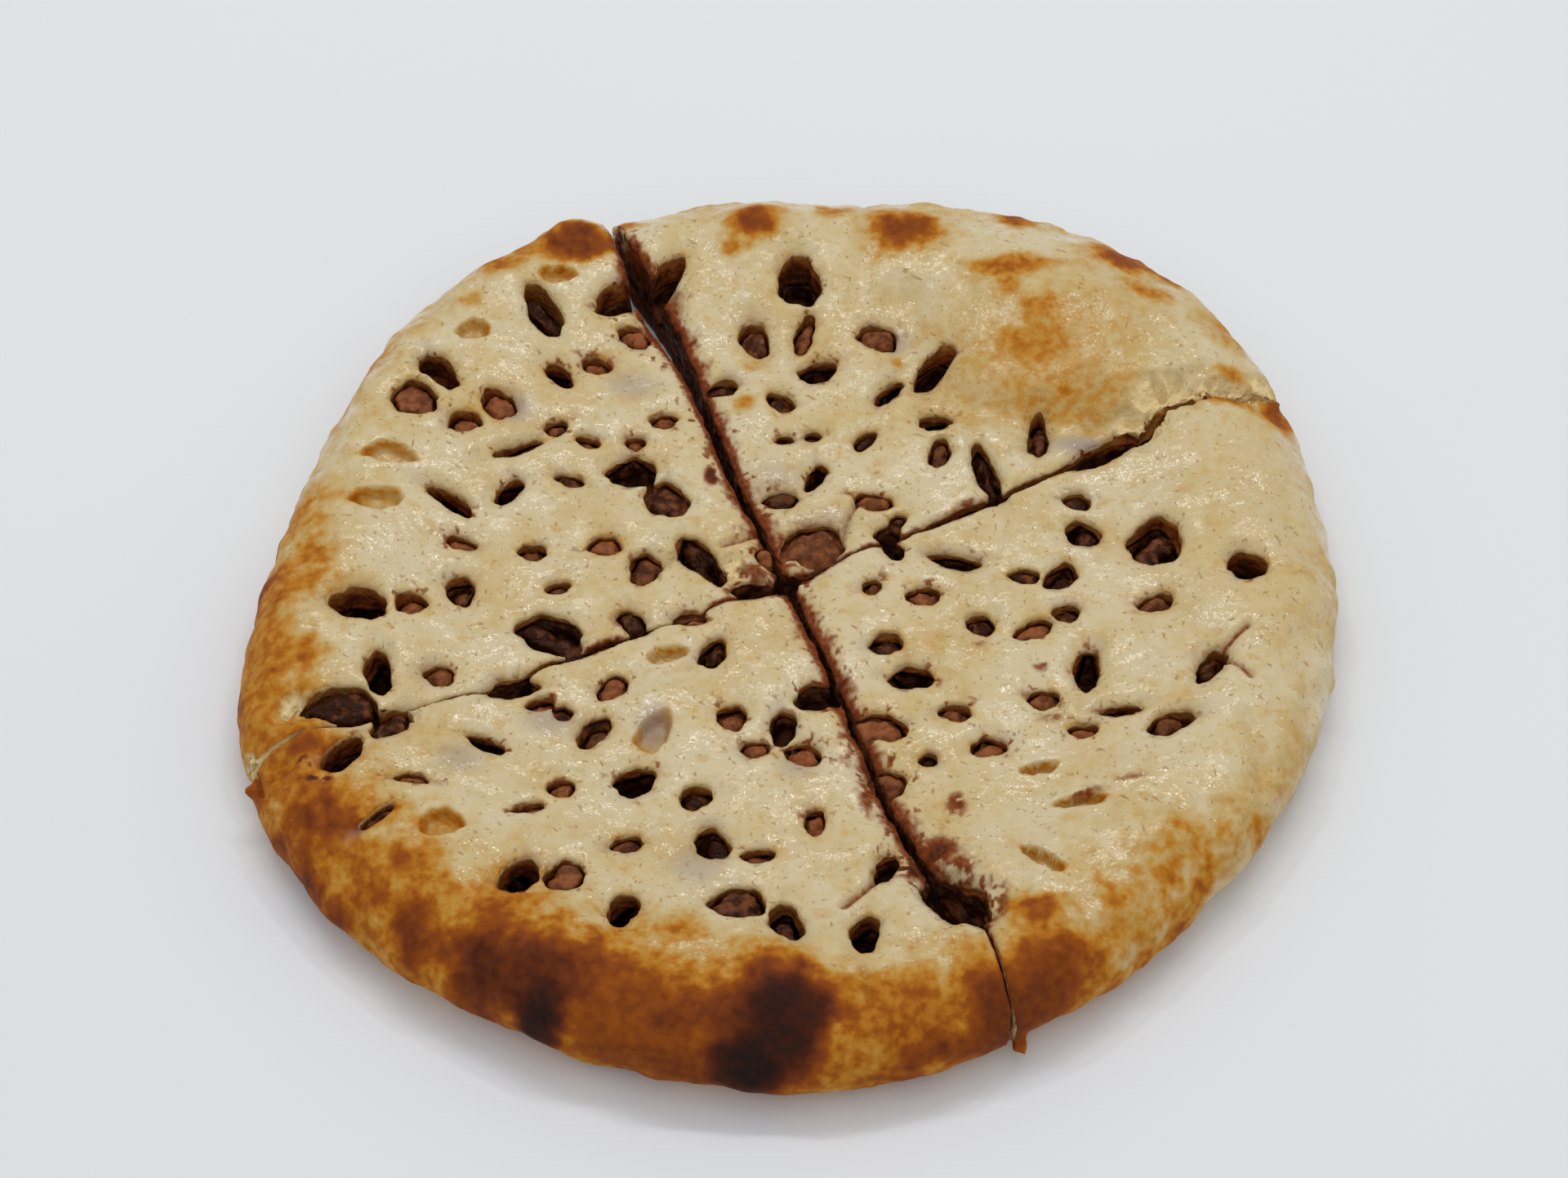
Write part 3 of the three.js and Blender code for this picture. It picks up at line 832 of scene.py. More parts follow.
SMEARED = patches(
    (27, -49, 13, 1.6, 2.6, 0.9), (49, -48, 15, 5, 1.2, 0.8), (57, -46, 16, 3, 1.1, 0.6),
    (23.5, -58.5, 14, 3.4, 3.2, 1.0), (26, -64, 14, 3.6, 4, 1.0), (32, -71, 16, 2.6, 5, 1.0),
    (18.5, -57, 14, 3, 3, 0.8), (-9.5, 1, 12.5, 5, 1.8, 0.8), (15, -62, 13, 1.6, 1.6, 0.5),
    (3, 12, 12, 5, 5, 0.8), (-31, -7, 13, 3, 3, 0.6), (-8, 5.4, 12.5, 3.6, 2.2, 0.8),
    (-3, 0.5, 12.5, 4, 2, 0.8), (-26, 72, 15, 4, 4, 0.8), (5, 58, 14, 3, 2, 0.3),
    (43, -18, 13, 1.6, 1.4, 0.7), (40, -24, 13, 2, 1.2, 0.5), (44, -30, 13, 2.4, 1.2, 0.6),
    (32, -12, 13, 1.4, 1.4, 0.6), (75, -17, 15, 3, 2, 0.6), (-62, -45, 15, 3, 1.2, 0.6),
    (-83.3, -42, 17, 2, 1.4, 1.4), (-81.6, -46.4, 17, 2.4, 1.2, 1.3), (8.4, -35, 13, 1.6, 5, 0.8),
    (12, -46, 13, 1.8, 5, 0.8), (-34.6, 88, 17.4, 1.4, 3, 1.2), (18.4, -61, 13.7, 2.4, 3.4, 1.3),
    (-15.8, 28.2, 13, 1.3, 2, 1.2),
)
VEILED = patches(
    (-31, 51.5, 13.5, 4, 3, 0.5), (-53, 44.5, 15, 3, 3, 0.8), (-4, 27, 13, 4, 4, 0.35),
    (7, 17, 13, 4, 3, 0.3), (18, 63, 16, 3, 2.5, 0.7), (-43, -30, 13, 4, 3, 0.6),
    (-58, -40, 14.5, 3.5, 3, 0.5), (-17, -62, 14, 4, 4, 0.5), (0, -40, 13, 3, 3, 0.5),
    (53, 36, 15, 5, 2, 0.8), (-25, -31, 13, 2.6, 3.4, 0.75),
)
TORN = patches(
    (69, 45.5, 18, 6, 3.4, 1.0), (64, 39, 16.5, 4.5, 4, 1.0), (79, 46.8, 17, 8, 2.2, 1.0),
    (87.4, 49.4, 13.5, 3.4, 3, 1.0), (-96, -38.5, 9, 4, 3.4, 0.7), (-87.4, -29.4, 16, 2.6, 2.6, 0.9),
    (-69.5, -31, 15.6, 3.6, 1.7, 0.9), (-11, 7, 13, 3, 2.6, 0.6),
)
CRATERS = patches(
    (24, -63, 14, 5, 6, 1.4), (30, -72, 15, 5, 5, 1.6), (-27, 72, 15, 4, 6, 1.6), (1, 5, 13, 5, 4, 1.0),
    (64.5, 38.6, 16, 3.4, 3.2, 3.2), (69, 45.5, 18, 5, 2.6, 1.6), (79, 46.6, 17, 8, 2.6, 2.0),
    (72, -18, 15, 4, 3, 1.0), (-86.5, -29.4, 16, 4, 3.4, 1.8), (-91, -43.5, 13, 6, 3.4, 2.0),
    (14.7, -62.4, 14, 2.6, 2.2, 1.3), (-9, 4, 13, 4.5, 3.5, 0.9), (-22, 7, 13, 4, 3, 0.8),
)


@dataclass(frozen=True)
class Crease:
    """A fold or tear in the crust: points seen from above, depth, half width and how much painted shade
    darkens its bottom.
    """

    line: tuple
    depth: float
    width: float
    dark: float

    def weight(self, points: Array) -> Array:
        """1 on the line, fading to 0 past its width."""
        away = np.full(len(points), np.inf)
        for start, end in zip(np.array(self.line), np.array(self.line)[1:]):
            step = end - start
            share = np.clip((points[:, :2] - start) @ step / (step @ step), 0, 1)
            away = np.minimum(away, np.linalg.norm(points[:, :2] - start - share[:, None] * step, axis=1))
        return fade(away, self.width)


CREASES = [
    Crease(((77.1, -32.7), (79.3, -39.1), (79, -46.5)), 0.9, 1.4, 0.0),
    Crease(((7.5, -71.4), (11.3, -67.6), (13.9, -63.6)), 1.5, 0.8, 0.8),
    Crease(((8, 12.8), (9.1, 17.1), (10.8, 21.6)), 1.6, 0.6, 0.6),
    Crease(((39.6, 33), (43.6, 35.6)), 0.7, 0.6, 0.25), Crease(((-21.2, 10.3), (-26.1, 6)), 1.3, 0.7, 0.4),
    Crease(((71.4, -20.2), (75.1, -16), (79.3, -12.2)), 1.3, 0.8, 0.8),
    Crease(((73.4, -16.6), (76.8, -20.6), (79, -23.8)), 1.1, 0.8, 0.7),
    Crease(((10.5, -85.6), (11.3, -92.2)), 0.8, 0.6, 0.4),
    Crease(((55.3, 40.2), (64.4, 42.6), (70.8, 47.3), (77.1, 51.5)), 1.4, 1.6, 0.0),
    Crease(((59.7, 38), (64, 33)), 1.0, 1.2, 0.2), Crease(((-41.9, 4), (-37.7, 6)), 0.5, 0.6, 0.2),
    Crease(((21, 70), (21, 56), (31, 45), (45, 39.5), (56, 41)), 2.6, 5.0, 0.0),
    Crease(((-13.6, 11.4), (-10.5, 12.6), (-7.4, 14.9)), 1.5, 0.7, 0.7),
    Crease(((31.2, -78), (31.7, -80), (34.8, -92), (37.6, -108)), 0.2, 0.7, 0.8),
]


@dataclass(frozen=True)
class RimTan:
    """Browning of one side of the rim: direction and spread in degrees, strength, and where it sets in."""

    towards: float
    spread: float
    strength: float
    start: float
    end: float


RIM_TANS = [RimTan(*row) for row in (
    (-140, 26, 0.48, 0.74, 0.95), (-112, 24, 0.51, 0.69, 0.93), (-82, 24, 0.47, 0.75, 0.96),
    (-58, 18, 0.38, 0.79, 0.97), (-35, 22, 0.16, 0.82, 1.0), (188, 24, 0.38, 0.78, 0.98),
    (140, 30, 0.26, 0.86, 1.0), (60, 60, 0.12, 0.86, 1.0), (0, 35, 0.06, 0.86, 1.0),
    (-47, 12, 0.38, 0.9, 1.0),
)]


@dataclass(frozen=True)
class Survey:
    """What lies round each point of a quarter, in millimetres."""

    depth: Array
    to_cut: Array
    band: Array
    to_hole: Array
    hole_smear: Array
    to_filling: Array


def survey_holes(points: Array, reach: float) -> tuple[Array, Array]:
    """Looks up the nearest hole from above.

    Args:
        points: Points in millimetres, one a row.
        reach: How far from a hole its edge still counts.

    Returns:
        Distance of each point from the hole's edge and how smeared that edge is.
    """
    away = np.full(len(points), reach)
    smear = np.zeros(len(points))
    for hole in HOLES:
        if hole.kind is HoleKind.DENT:
            continue
        near = hole.near(points, reach)
        edge = hole.edge_distance(points[near])
        closer = edge < away[near]
        away[near[closer]] = edge[closer]
        smear[near[closer]] = hole.smear
    return away, smear


def dents(points: Array, reach: float) -> Iterator[tuple[Array, Array]]:
    """Looks up the dents from above.

    Args:
        points: Points in millimetres, one a row.
        reach: How far past a dent's edge its points still count.

    Yields:
        Numbers of the points near a dent, and their distance as a share of the way to its edge.
    """
    for hole in HOLES:
        if hole.kind is HoleKind.DENT:
            near = hole.near(points, reach)
            yield near, hole.span(points[near])


@dataclass(frozen=True)
class CrustRelief:
    """Moves the plain crust's points into dimples, sagged edges, lumps and torn crumb."""

    dimple_reach: float = 2.1
    dent_wall: tuple = (0.6, 1.1)
    upper_margin: float = 0.6
    sag: float = 0.15
    sag_reach: float = 0.6
    sag_by_band: float = 0.5
    edge_sink: float = 0.4
    edge_reach: float = 6
    crater_rough: float = 0.8
    swell: float = 0.75
    ripple: float = 0.22
    skin: tuple = (0.3, 1.2)
    side: tuple = (0.84, 0.95)
    foot: tuple = (0.2, 3)
    rim_lump: float = 0.8
    crumb: float = 0.25
    torn_rough: float = 0.6
    torn_edge: tuple = (0.35, 0.6)
    torn_depth: float = 2.2
    torn_least: float = 0.3

    def dented(self, points: Array) -> Array:
        """1 inside the dents, fading to 0 past their edges."""
        value = np.zeros(len(points))
        for near, span in dents(points, self.dimple_reach):
            value[near] = np.maximum(value[near], 1 - smoothstep(span, *self.dent_wall))
        return value

    def torn(self, points: Array) -> Array:
        """1 where the skin is torn off and the crumb shows, fading to 0 past that."""
        edge = 1 + self.torn_rough * Grain.TORN_EDGE.at(points)
        weight = np.max([patch.strength * patch.weight(points) for patch in TORN], axis=0)
        return smoothstep(weight * edge, *self.torn_edge)

    def dimples(self, points: Array) -> Array:
        """How far the skin sinks towards the holes and dents."""
        dip = HoleKind.DENT.dip * self.dented(points)
        for hole in HOLES:
            if hole.kind is not HoleKind.DENT:
                near = hole.near(points, 3 * self.dimple_reach)
                outside = np.maximum(hole.edge_distance(points[near]), 0)
                dip[near] = np.maximum(dip[near], hole.kind.dip * fade(outside, self.dimple_reach))
        return dip

    def shape(self, points: Array, normals: Array, found: Survey) -> Array:
        """Gives the crust its relief.

        Args:
            points: Points of the plain crust.
            normals: Their outward directions.
            found: What lies round them.

        Returns:
            The moved points.
        """
        share = FORM.rim_share(points)
        flat = points * np.array([1, 1, 0])
        upper = smoothstep(points[:, 2], FORM.filling_top, FORM.middle_height - self.upper_margin)
        outside = np.maximum(found.to_cut, 0)
        more = self.sag_by_band * found.band
        sag = (self.sag + more) * fade(outside, self.sag_reach + more)
        sunk = self.dimples(points) + sag + self.edge_sink * fade(outside, self.edge_reach)
        uneven = 1 + self.crater_rough * Grain.CRATER.at(flat)
        for crater in CRATERS:
            sunk += crater.strength * crater.weight(points) * uneven
        for crease in CREASES:
            sunk += crease.depth * crease.weight(points)
        lift = self.swell * Grain.SWELL.at(flat) + self.ripple * Grain.RIPPLE.at(flat)
        moved = points.copy()
        moved[:, 2] += (lift - sunk) * upper
        skin = 1 - smoothstep(found.depth, *self.skin)
        side = smoothstep(share, *self.side) * skin * smoothstep(points[:, 2], *self.foot)
        bulge = side * self.rim_lump * Grain.RIM_LUMP.at(points)
        rough = (1 - skin) * self.crumb * Grain.CRUMB.at(points)
        pitted = self.torn_least + np.abs(Grain.TORN_DEPTH.at(points))
        ragged = self.torn(points) * self.torn_depth * pitted
        moved += normals * (bulge + rough - ragged)[:, None]
        moved[:, 2] = np.maximum(moved[:, 2], 0)
        return moved


@dataclass(frozen=True)
class CrustColour:
    """Values painted on the crust: how far it is browned, smeared, soaked and veiled, with painted shade and
    a painted glow folded into the browning and the smear.
    """

    pale: float = 0.06
    pale_coarse: float = 0.12
    pale_fine: float = 0.06
    rim_rough: float = 0.03
    rim_coarse: float = 0.36
    rim_fine: float = 0.12
    foot_tan: float = 0.75
    foot_tan_edge: tuple = (0.3, 7)
    dent_tan: float = 0.22
    dent_tan_edge: tuple = (0.8, 1.1)
    dent_ring: float = 0.9
    dent_ring_at: float = 0.95
    dent_ring_width: float = 0.16
    lip_glow: float = 0.16
    lip_reach: float = 0.9
    warp: float = 1.6
    blotch_fine: float = 0.18
    blotch_most: float = 1.1
    cut_face: tuple = (0.3, 0.9)
    filling_edge: tuple = (0.82, 0.92)
    soak_edge: tuple = (0.88, 0.94)
    soak_depth: tuple = (0.2, 1.2)
    soak_rough: float = 0.5
    veil_edge: tuple = (0.05, 0.4)
    veil: float = 0.35
    veil_reach: float = 1.8
    dent_reach: float = 2.1

    def hollowed(self, points: Array) -> Array:
        """How brown the dents are: golden inside with a darker edge."""
        value = np.zeros(len(points))
        for near, span in dents(points, self.dent_reach):
            ring = self.dent_ring * fade(span - self.dent_ring_at, self.dent_ring_width)
            value[near] = np.maximum(value[near], 1 - smoothstep(span, *self.dent_tan_edge) + ring)
        return value

    def baked(self, points: Array, found: Survey) -> Array:
        """Browning of the crust, 0 for pale dough and 1 for burnt, with painted shade on the bubble's front
        slope and a painted glow at the hole lips.
        """
        share = FORM.rim_share(points)
        angle = np.degrees(polar(points)[0])
        coarse = Grain.BAKE_COARSE.at(points)
        fine = Grain.BAKE_FINE.at(points)
        tanned = np.zeros(len(points))
        for tan in RIM_TANS:
            off = (angle - tan.towards + 180) % 360 - 180
            rim = smoothstep(share + self.rim_rough * fine, tan.start, tan.end)
            tanned = np.maximum(tanned, rim * tan.strength * fade(off, tan.spread))
        tanned *= 1 + self.rim_coarse * coarse + self.rim_fine * fine
        tanned *= self.foot_tan + (1 - self.foot_tan) * smoothstep(points[:, 2], *self.foot_tan_edge)
        value = self.pale + self.pale_coarse * coarse + self.pale_fine * fine + tanned
        value += self.dent_tan * self.hollowed(points)
        # Painted glow: a warm tint at the hole lips stands in for light shining through the thin dough.
        value += self.lip_glow * fade(np.maximum(found.to_hole, 0), self.lip_reach)
        warped = points.copy()
        for axis, layer in enumerate((Grain.WARP_RIGHT, Grain.WARP_BACK)):
            warped[:, axis] += self.warp * layer.at(points)
        uneven = np.clip(1 + self.blotch_fine * fine, 0, self.blotch_most)
        for blotch in BROWNED_AND_SHADED:
            weight = np.clip(blotch.weight(warped) * uneven, 0, 1)
            value += np.maximum(blotch.strength - value, 0) * weight
        return np.clip(value, 0, 1)

    def hole_stain(self, found: Survey, inside: Array, rough: Array, fine: Array) -> Array:
        """Chocolate on the walls and torn edges of the holes.

        Args:
            found: What lies round each point.
            inside: 1 under the skin.
            rough: Coarse noise.
            fine: Fine noise.

        Returns:
            Values from 0 to 1.
        """
        deep = smoothstep(found.depth + 0.8 * rough, 1.2, 3.4)
        near_hole = 1 - smoothstep(found.to_hole, 0.8, 1.6)
        wall = inside * deep * near_hole * np.clip(found.hole_smear + 0.5 * rough, 0, 1)
        strayed = found.to_hole + 0.9 * fine + 0.9 * rough
        return np.maximum(wall, 0.6 * found.hole_smear * (1 - smoothstep(strayed, -0.3, 0.5)))

    def cut_stain(self, points: Array, found: Survey, rough: Array, fine: Array) -> Array:
        """Chocolate dragged over the crust along the cuts.

        Args:
            points: Points of the crust.
            found: What lies round them.
            rough: Coarse noise.
            fine: Fine noise.

        Returns:
            Values from 0 to 1.
        """
        strayed = found.to_cut - found.band * (0.7 * rough + 0.25 * fine)
        patchy = 0.35 + 0.6 * smoothstep(Grain.STAIN_PATCH.at(points) + 0.5 * fine, -0.3, 0.4)
        lip = patchy * (1 - smoothstep(strayed, -0.3 * found.band, 1.5 * found.band + 0.3))
        strayed = found.to_cut + 0.5 * fine
        edge = 0.85 * (1 - smoothstep(strayed, 0.25 * found.band, 0.65 * found.band + 0.3))
        lip = np.maximum(lip, edge * smoothstep(found.band, 0.5, 1.6))
        return lip * smoothstep(found.band, 0.2, 0.6)

    def splashed(self, points: Array, found: Survey) -> Array:
        """Specks of chocolate round the holes and along the cuts."""
        amount = found.hole_smear * fade(np.maximum(found.to_hole, 0), 2.4)
        amount += smoothstep(found.band, 0.3, 1.5) * fade(np.maximum(found.to_cut, 0), 5)
        return 0.8 * np.minimum(amount, 1) * smoothstep(Grain.STAIN_SPECK.at(points), 0.38, 0.52)

    def stained(self, points: Array, found: Survey) -> Array:
        """How much chocolate is smeared on each point, with painted shade at the bottom of the creases.

        Args:
            points: Points of the crust.
            found: What lies round them.

        Returns:
            Values from 0 to 1.
        """
        rough = Grain.STAIN_ROUGH.at(points)
        fine = Grain.STAIN_FINE.at(points)
        inside = smoothstep(found.depth, *self.cut_face)
        inner = 1 - smoothstep(FORM.rim_share(points), *self.filling_edge)
        touch = 1 - smoothstep(found.to_filling + 0.4 * fine, 0.2, 1.0)
        along = np.clip(0.2 + 0.4 * found.band + 0.6 * rough, 0, 1) * smoothstep(found.band, 0.05, 0.4)
        face = inside * inner * (1 - smoothstep(found.to_cut, 0.7, 1.5)) * along
        holes = self.hole_stain(found, inside, rough, fine)
        lip = self.cut_stain(points, found, rough, fine)
        value = np.max([touch, face, holes, lip, self.splashed(points, found)], axis=0)
        broken = smoothstep(rough + 0.8 * fine, -0.6, 0.1)
        for smear in SMEARED:
            value = np.maximum(value, smear.strength * smear.weight(points) * broken)
        # Painted shade: the bottom of each crease is darkened in the colour of smeared chocolate.
        for crease in CREASES:
            value = np.maximum(value, crease.dark * crease.weight(points) ** 2)
        return np.clip(value, 0, 1)

    def soaked(self, points: Array, found: Survey) -> Array:
        """How far the crumb over the filling is browned by it."""
        inner = 1 - smoothstep(FORM.rim_share(points), *self.soak_edge)
        return inner * smoothstep(found.depth + self.soak_rough * Grain.SOAK.at(points), *self.soak_depth)

    def veiled(self, points: Array, found: Survey) -> Array:
        """Where a chip shows through thin skin."""
        cloud = smoothstep(Grain.VEIL.at(points), *self.veil_edge)
        value = self.veil * cloud * fade(np.maximum(found.to_hole, 0), self.veil_reach)
        for veil in VEILED:
            value = np.maximum(value, veil.strength * veil.weight(points))
        return value


class NodeSketch:
    """Adds shader nodes to one material and links them."""

    def __init__(self, name: str) -> None:
        """Starts a material with only its output and one principled shader."""
        self.material = bpy.data.materials.new(name)
        self.material.use_nodes = True
        self.tree = self.material.node_tree
        self.shader = next(node for node in self.tree.nodes if node.type == "BSDF_PRINCIPLED")
        self.place = self.tree.nodes.new("ShaderNodeTexCoord").outputs["Object"]

    def feed(self, node: Node, inputs: dict) -> None:
        """Sets inputs of a node, each to a constant or by a link."""
        for name, value in inputs.items():
            if isinstance(value, Socket):
                self.tree.links.new(value, node.inputs[name])
            else:
                node.inputs[name].default_value = value

    def add(self, kind: str, inputs: dict, **settings: object) -> Node:
        """Adds a node.

        Args:
            kind: Its type, without the prefix that all types share.
            inputs: A constant or a socket for each input.
            settings: Its other settings.

        Returns:
            The node.
        """
        node = self.tree.nodes.new(f"ShaderNode{kind}")
        for key, value in settings.items():
            setattr(node, key, value)
        self.feed(node, inputs)
        return node

    def set(self, name: str, value: object) -> None:
        """Sets a constant on the shader, or links a socket to it."""
        self.feed(self.shader, {name: value})

    def painted(self, name: str) -> Socket:
        """A value painted on the mesh."""
        return self.add("Attribute", {}, attribute_name=name).outputs["Fac"]

    def stretched(self, turn: tuple, scale: tuple) -> Socket:
        """The object's own coordinates, turned and stretched."""
        inputs = {"Vector": self.place, "Rotation": turn, "Scale": scale}
        return self.add("Mapping", inputs, vector_type="TEXTURE").outputs["Vector"]

    def noise(self, size: float, detail: float = 2, place: Socket | None = None) -> Socket:
        """Noise with lumps of a size in millimetres, in the object's own coordinates or others."""
        inputs = {"Vector": place or self.place, "Scale": 1 / (size * MM), "Detail": detail}
        return self.add("TexNoise", inputs).outputs["Fac"]

    def ramp(self, value: Socket, stops: tuple) -> Socket:
        """Colours along a value."""
        node = self.add("ValToRGB", {"Fac": value})
        elements = node.color_ramp.elements
        while len(elements) < len(stops):
            elements.new(0.5)
        for element, (position, colour) in zip(elements, stops):
            element.position = position
            element.color = (*colour, 1)
        return node.outputs["Color"]

    def span(self, value: Socket, low: float, high: float, first: float, last: float) -> Socket:
        """Maps the range of a value from low to high to another from first to last, clamped and eased."""
        inputs = {"Value": value, "From Min": low, "From Max": high, "To Min": first, "To Max": last}
        return self.add("MapRange", inputs, interpolation_type="SMOOTHSTEP").outputs["Result"]

    def clouds(self, size: float, detail: float, *limits: float) -> Socket:
        """Noise of a size and detail, mapped from its low and high limit to a first and last value."""
        return self.span(self.noise(size, detail), *limits)

    def math(self, operation: str, first: object, second: object) -> Socket:
        """A sum, product or other operation on two values."""
        return self.add("Math", {0: first, 1: second}, operation=operation).outputs["Value"]

    def times(self, first: Socket, second: Socket) -> Socket:
        """The product of two values."""
        return self.math("MULTIPLY", first, second)

    def mix(self, share: object, first: object, second: object, blend: str = "MIX") -> Socket:
        """Mixes two colours.

        Args:
            share: How much of the second.
            first: A colour or socket.
            second: A colour or socket.
            blend: Blend type.

        Returns:
            The mixed colour.
        """
        colours = [value if isinstance(value, Socket) else (*value, 1) for value in (first, second)]
        inputs = {0: share, 6: colours[0], 7: colours[1]}
        return self.add("Mix", inputs, data_type="RGBA", blend_type=blend).outputs[2]

    def bump(self, layers: tuple) -> Socket:
        """Stacks bumps.

        Args:
            layers: Height and depth in millimetres of each, the height as a socket or a noise's values.

        Returns:
            The normal.
        """
        below = {}
        for height, depth in layers:
            source = height if isinstance(height, Socket) else self.noise(*height)
            node = self.add("Bump", {"Height": source, "Distance": depth * MM, **below})
            below = {"Normal": node.outputs["Normal"]}
        return below["Normal"]


@dataclass(frozen=True)
class DoughFinish:
    """Buttered pale crust that browns towards the rim, with bran flecks and smeared chocolate; its browning
    and smear colours also carry painted shade and a painted glow.
    """

    browning: tuple = (
        (0.0, (0.67, 0.55, 0.335)),
        (0.12, (0.62, 0.47, 0.23)),
        (0.26, (0.55, 0.35, 0.112)),
        (0.36, (0.52, 0.245, 0.034)),
        (0.45, (0.45, 0.158, 0.01)),
        (0.55, (0.3, 0.072, 0.005)),
        (0.68, (0.165, 0.034, 0.006)),
        (0.82, (0.07, 0.015, 0.005)),
        (1.0, (0.02, 0.008, 0.006)),
    )
    crumb: tuple = (0.82, 0.64, 0.33)
    amber: tuple = (0.32, 0.125, 0.024)
    fleck: tuple = (0.36, 0.2, 0.07)
    gold: tuple = (0.58, 0.37, 0.12)
    thin_smear_and_shade: tuple = (0.22, 0.046, 0.009)
    thick_smear_and_shade: tuple = (0.075, 0.022, 0.009)
    veil: tuple = (0.33, 0.26, 0.22)
    roughness: float = 0.6
    shine: float = 0.08
    coat_roughness: float = 0.045
    spots: tuple = ((4.5, 3, 0.58, 0.7, 0, 0.6), (2.2, 2, 0.62, 0.72, 0, 0.5))
    dash_layers: tuple = ((0.7, 0.5), (0.85, 1.6), (1.1, 2.6))
    relief: tuple = (((2.6, 3), 0.4), ((0.8, 3), 0.2))
    torn_relief: float = 0.7
    coat_relief: tuple = (((2.2, 3), 0.6),)

    def flecks(self, sketch: NodeSketch) -> Socket:
        """Short bran dashes that lie in several directions."""
        dashes = []
        for size, turn in self.dash_layers:
            dashes.append(sketch.noise(size, 1, sketch.stretched((0, 0, turn), (2, 1, 1))))
        most = sketch.math("MAXIMUM", sketch.math("MAXIMUM", dashes[0], dashes[1]), dashes[2])
        return sketch.span(most, 0.68, 0.77, 0, 0.72)

    def skin(self, sketch: NodeSketch) -> Socket:
        """Colour of the crust before chocolate is smeared on it."""
        # The painted browning also carries painted shade on the bubble's slope and a painted glow at the hole
        # lips.
        painted = sketch.painted("bake_and_painted_light")
        grit = sketch.clouds(1.8, 3, 0.3, 0.7, -1, 1)
        rising = sketch.span(painted, 0.1, 0.3, 0.03, 0.07)
        amount = sketch.times(rising, sketch.span(painted, 0.4, 0.6, 1, 0.5))
        bake_and_painted_light = sketch.math("ADD", painted, sketch.times(grit, amount))
        pale_only = sketch.span(bake_and_painted_light, 0.2, 0.42, 1, 0)
        skin = sketch.ramp(bake_and_painted_light, self.browning)
        for spots in self.spots:
            skin = sketch.mix(sketch.times(sketch.clouds(*spots), pale_only), skin, self.gold)
        skin = sketch.mix(sketch.times(self.flecks(sketch), pale_only), skin, self.fleck)
        return sketch.mix(sketch.painted("veil"), skin, self.veil)

    def material(self) -> Material:
        """The shader that all four dough quarters share."""
        sketch = NodeSketch("buttered_dough")
        inside = sketch.painted("inside")
        crumb = sketch.mix(sketch.painted("soak"), self.crumb, self.amber)
        colour = sketch.mix(inside, self.skin(sketch), crumb)
        torn = sketch.clouds(1.1, 3, 0.3, 0.7, -0.1, 0.1)
        # This painted value holds smeared chocolate and the painted shade at the bottom of the creases.
        smear_and_crease_shade = sketch.math("ADD", sketch.painted("smear_and_crease_shade"), torn)
        smeared = sketch.span(smear_and_crease_shade, 0.08, 0.85, 0, 1)
        colour = sketch.mix(smeared, colour, self.thin_smear_and_shade)
        colour = sketch.mix(sketch.span(smear_and_crease_shade, 0.75, 1.05, 0, 1), colour, self.thick_smear_and_shade)
        sketch.set("Base Color", colour)
        sketch.set("Roughness", self.roughness)
        sketch.set("Specular IOR Level", self.shine)
        ragged = sketch.times(sketch.noise(1.2, 3), inside)
        sketch.set("Normal", sketch.bump((*self.relief, (ragged, self.torn_relief))))
        clean = sketch.span(sketch.math("MAXIMUM", inside, smeared), 0, 1, 1, 0)
        clean = sketch.times(clean, sketch.span(sketch.painted("bake_and_painted_light"), 0.16, 0.45, 1, 0))
        buttered = sketch.clouds(8, 3, 0.4, 0.55, 0.05, 1)
        sketch.set("Coat Weight", sketch.times(buttered, clean))
        sketch.set("Coat Roughness", self.coat_roughness)
        sketch.set("Coat Normal", sketch.bump(self.coat_relief))
        return sketch.material


@dataclass(frozen=True)
class ChocolateFinish:
    """Semi-gloss melted chips, from dark to milky brown."""

    dark: tuple = (0.032, 0.0075, 0.002)
    milky: tuple = (0.31, 0.1, 0.034)
    shine: float = 0.1
    relief: tuple = (((2.0, 3), 0.9), ((0.8, 2), 0.35))

    def material(self) -> Material:
        """The shader that all chocolate pieces share."""
        sketch = NodeSketch("melted_chocolate")
        mottled = sketch.clouds(2.2, 4, 0.35, 0.65, -0.3, 0.3)
        share = sketch.math("ADD", mottled, sketch.painted("tone"))
        sketch.set("Base Color", sketch.mix(share, self.dark, self.milky))
        sketch.set("Roughness", sketch.clouds(3, 3, 0.35, 0.65, 0.3, 0.6))
        sketch.set("Specular IOR Level", self.shine)
        sketch.set("Normal", sketch.bump(self.relief))
        return sketch.material


@dataclass(frozen=True)
class FloorFinish:
    """Plain pale surface under the bread."""

    colour: tuple = (0.8, 0.81, 0.83)
    roughness: float = 0.6

    def material(self) -> Material:
        """A matt shader with a trace of unevenness."""
        sketch = NodeSketch("pale_floor")
        tone = sketch.clouds(180, 2, 0.3, 0.7, 0.99, 1.0)
        sketch.set("Base Color", sketch.mix(1.0, self.colour, tone, "MULTIPLY"))
        sketch.set("Roughness", self.roughness)
        return sketch.material


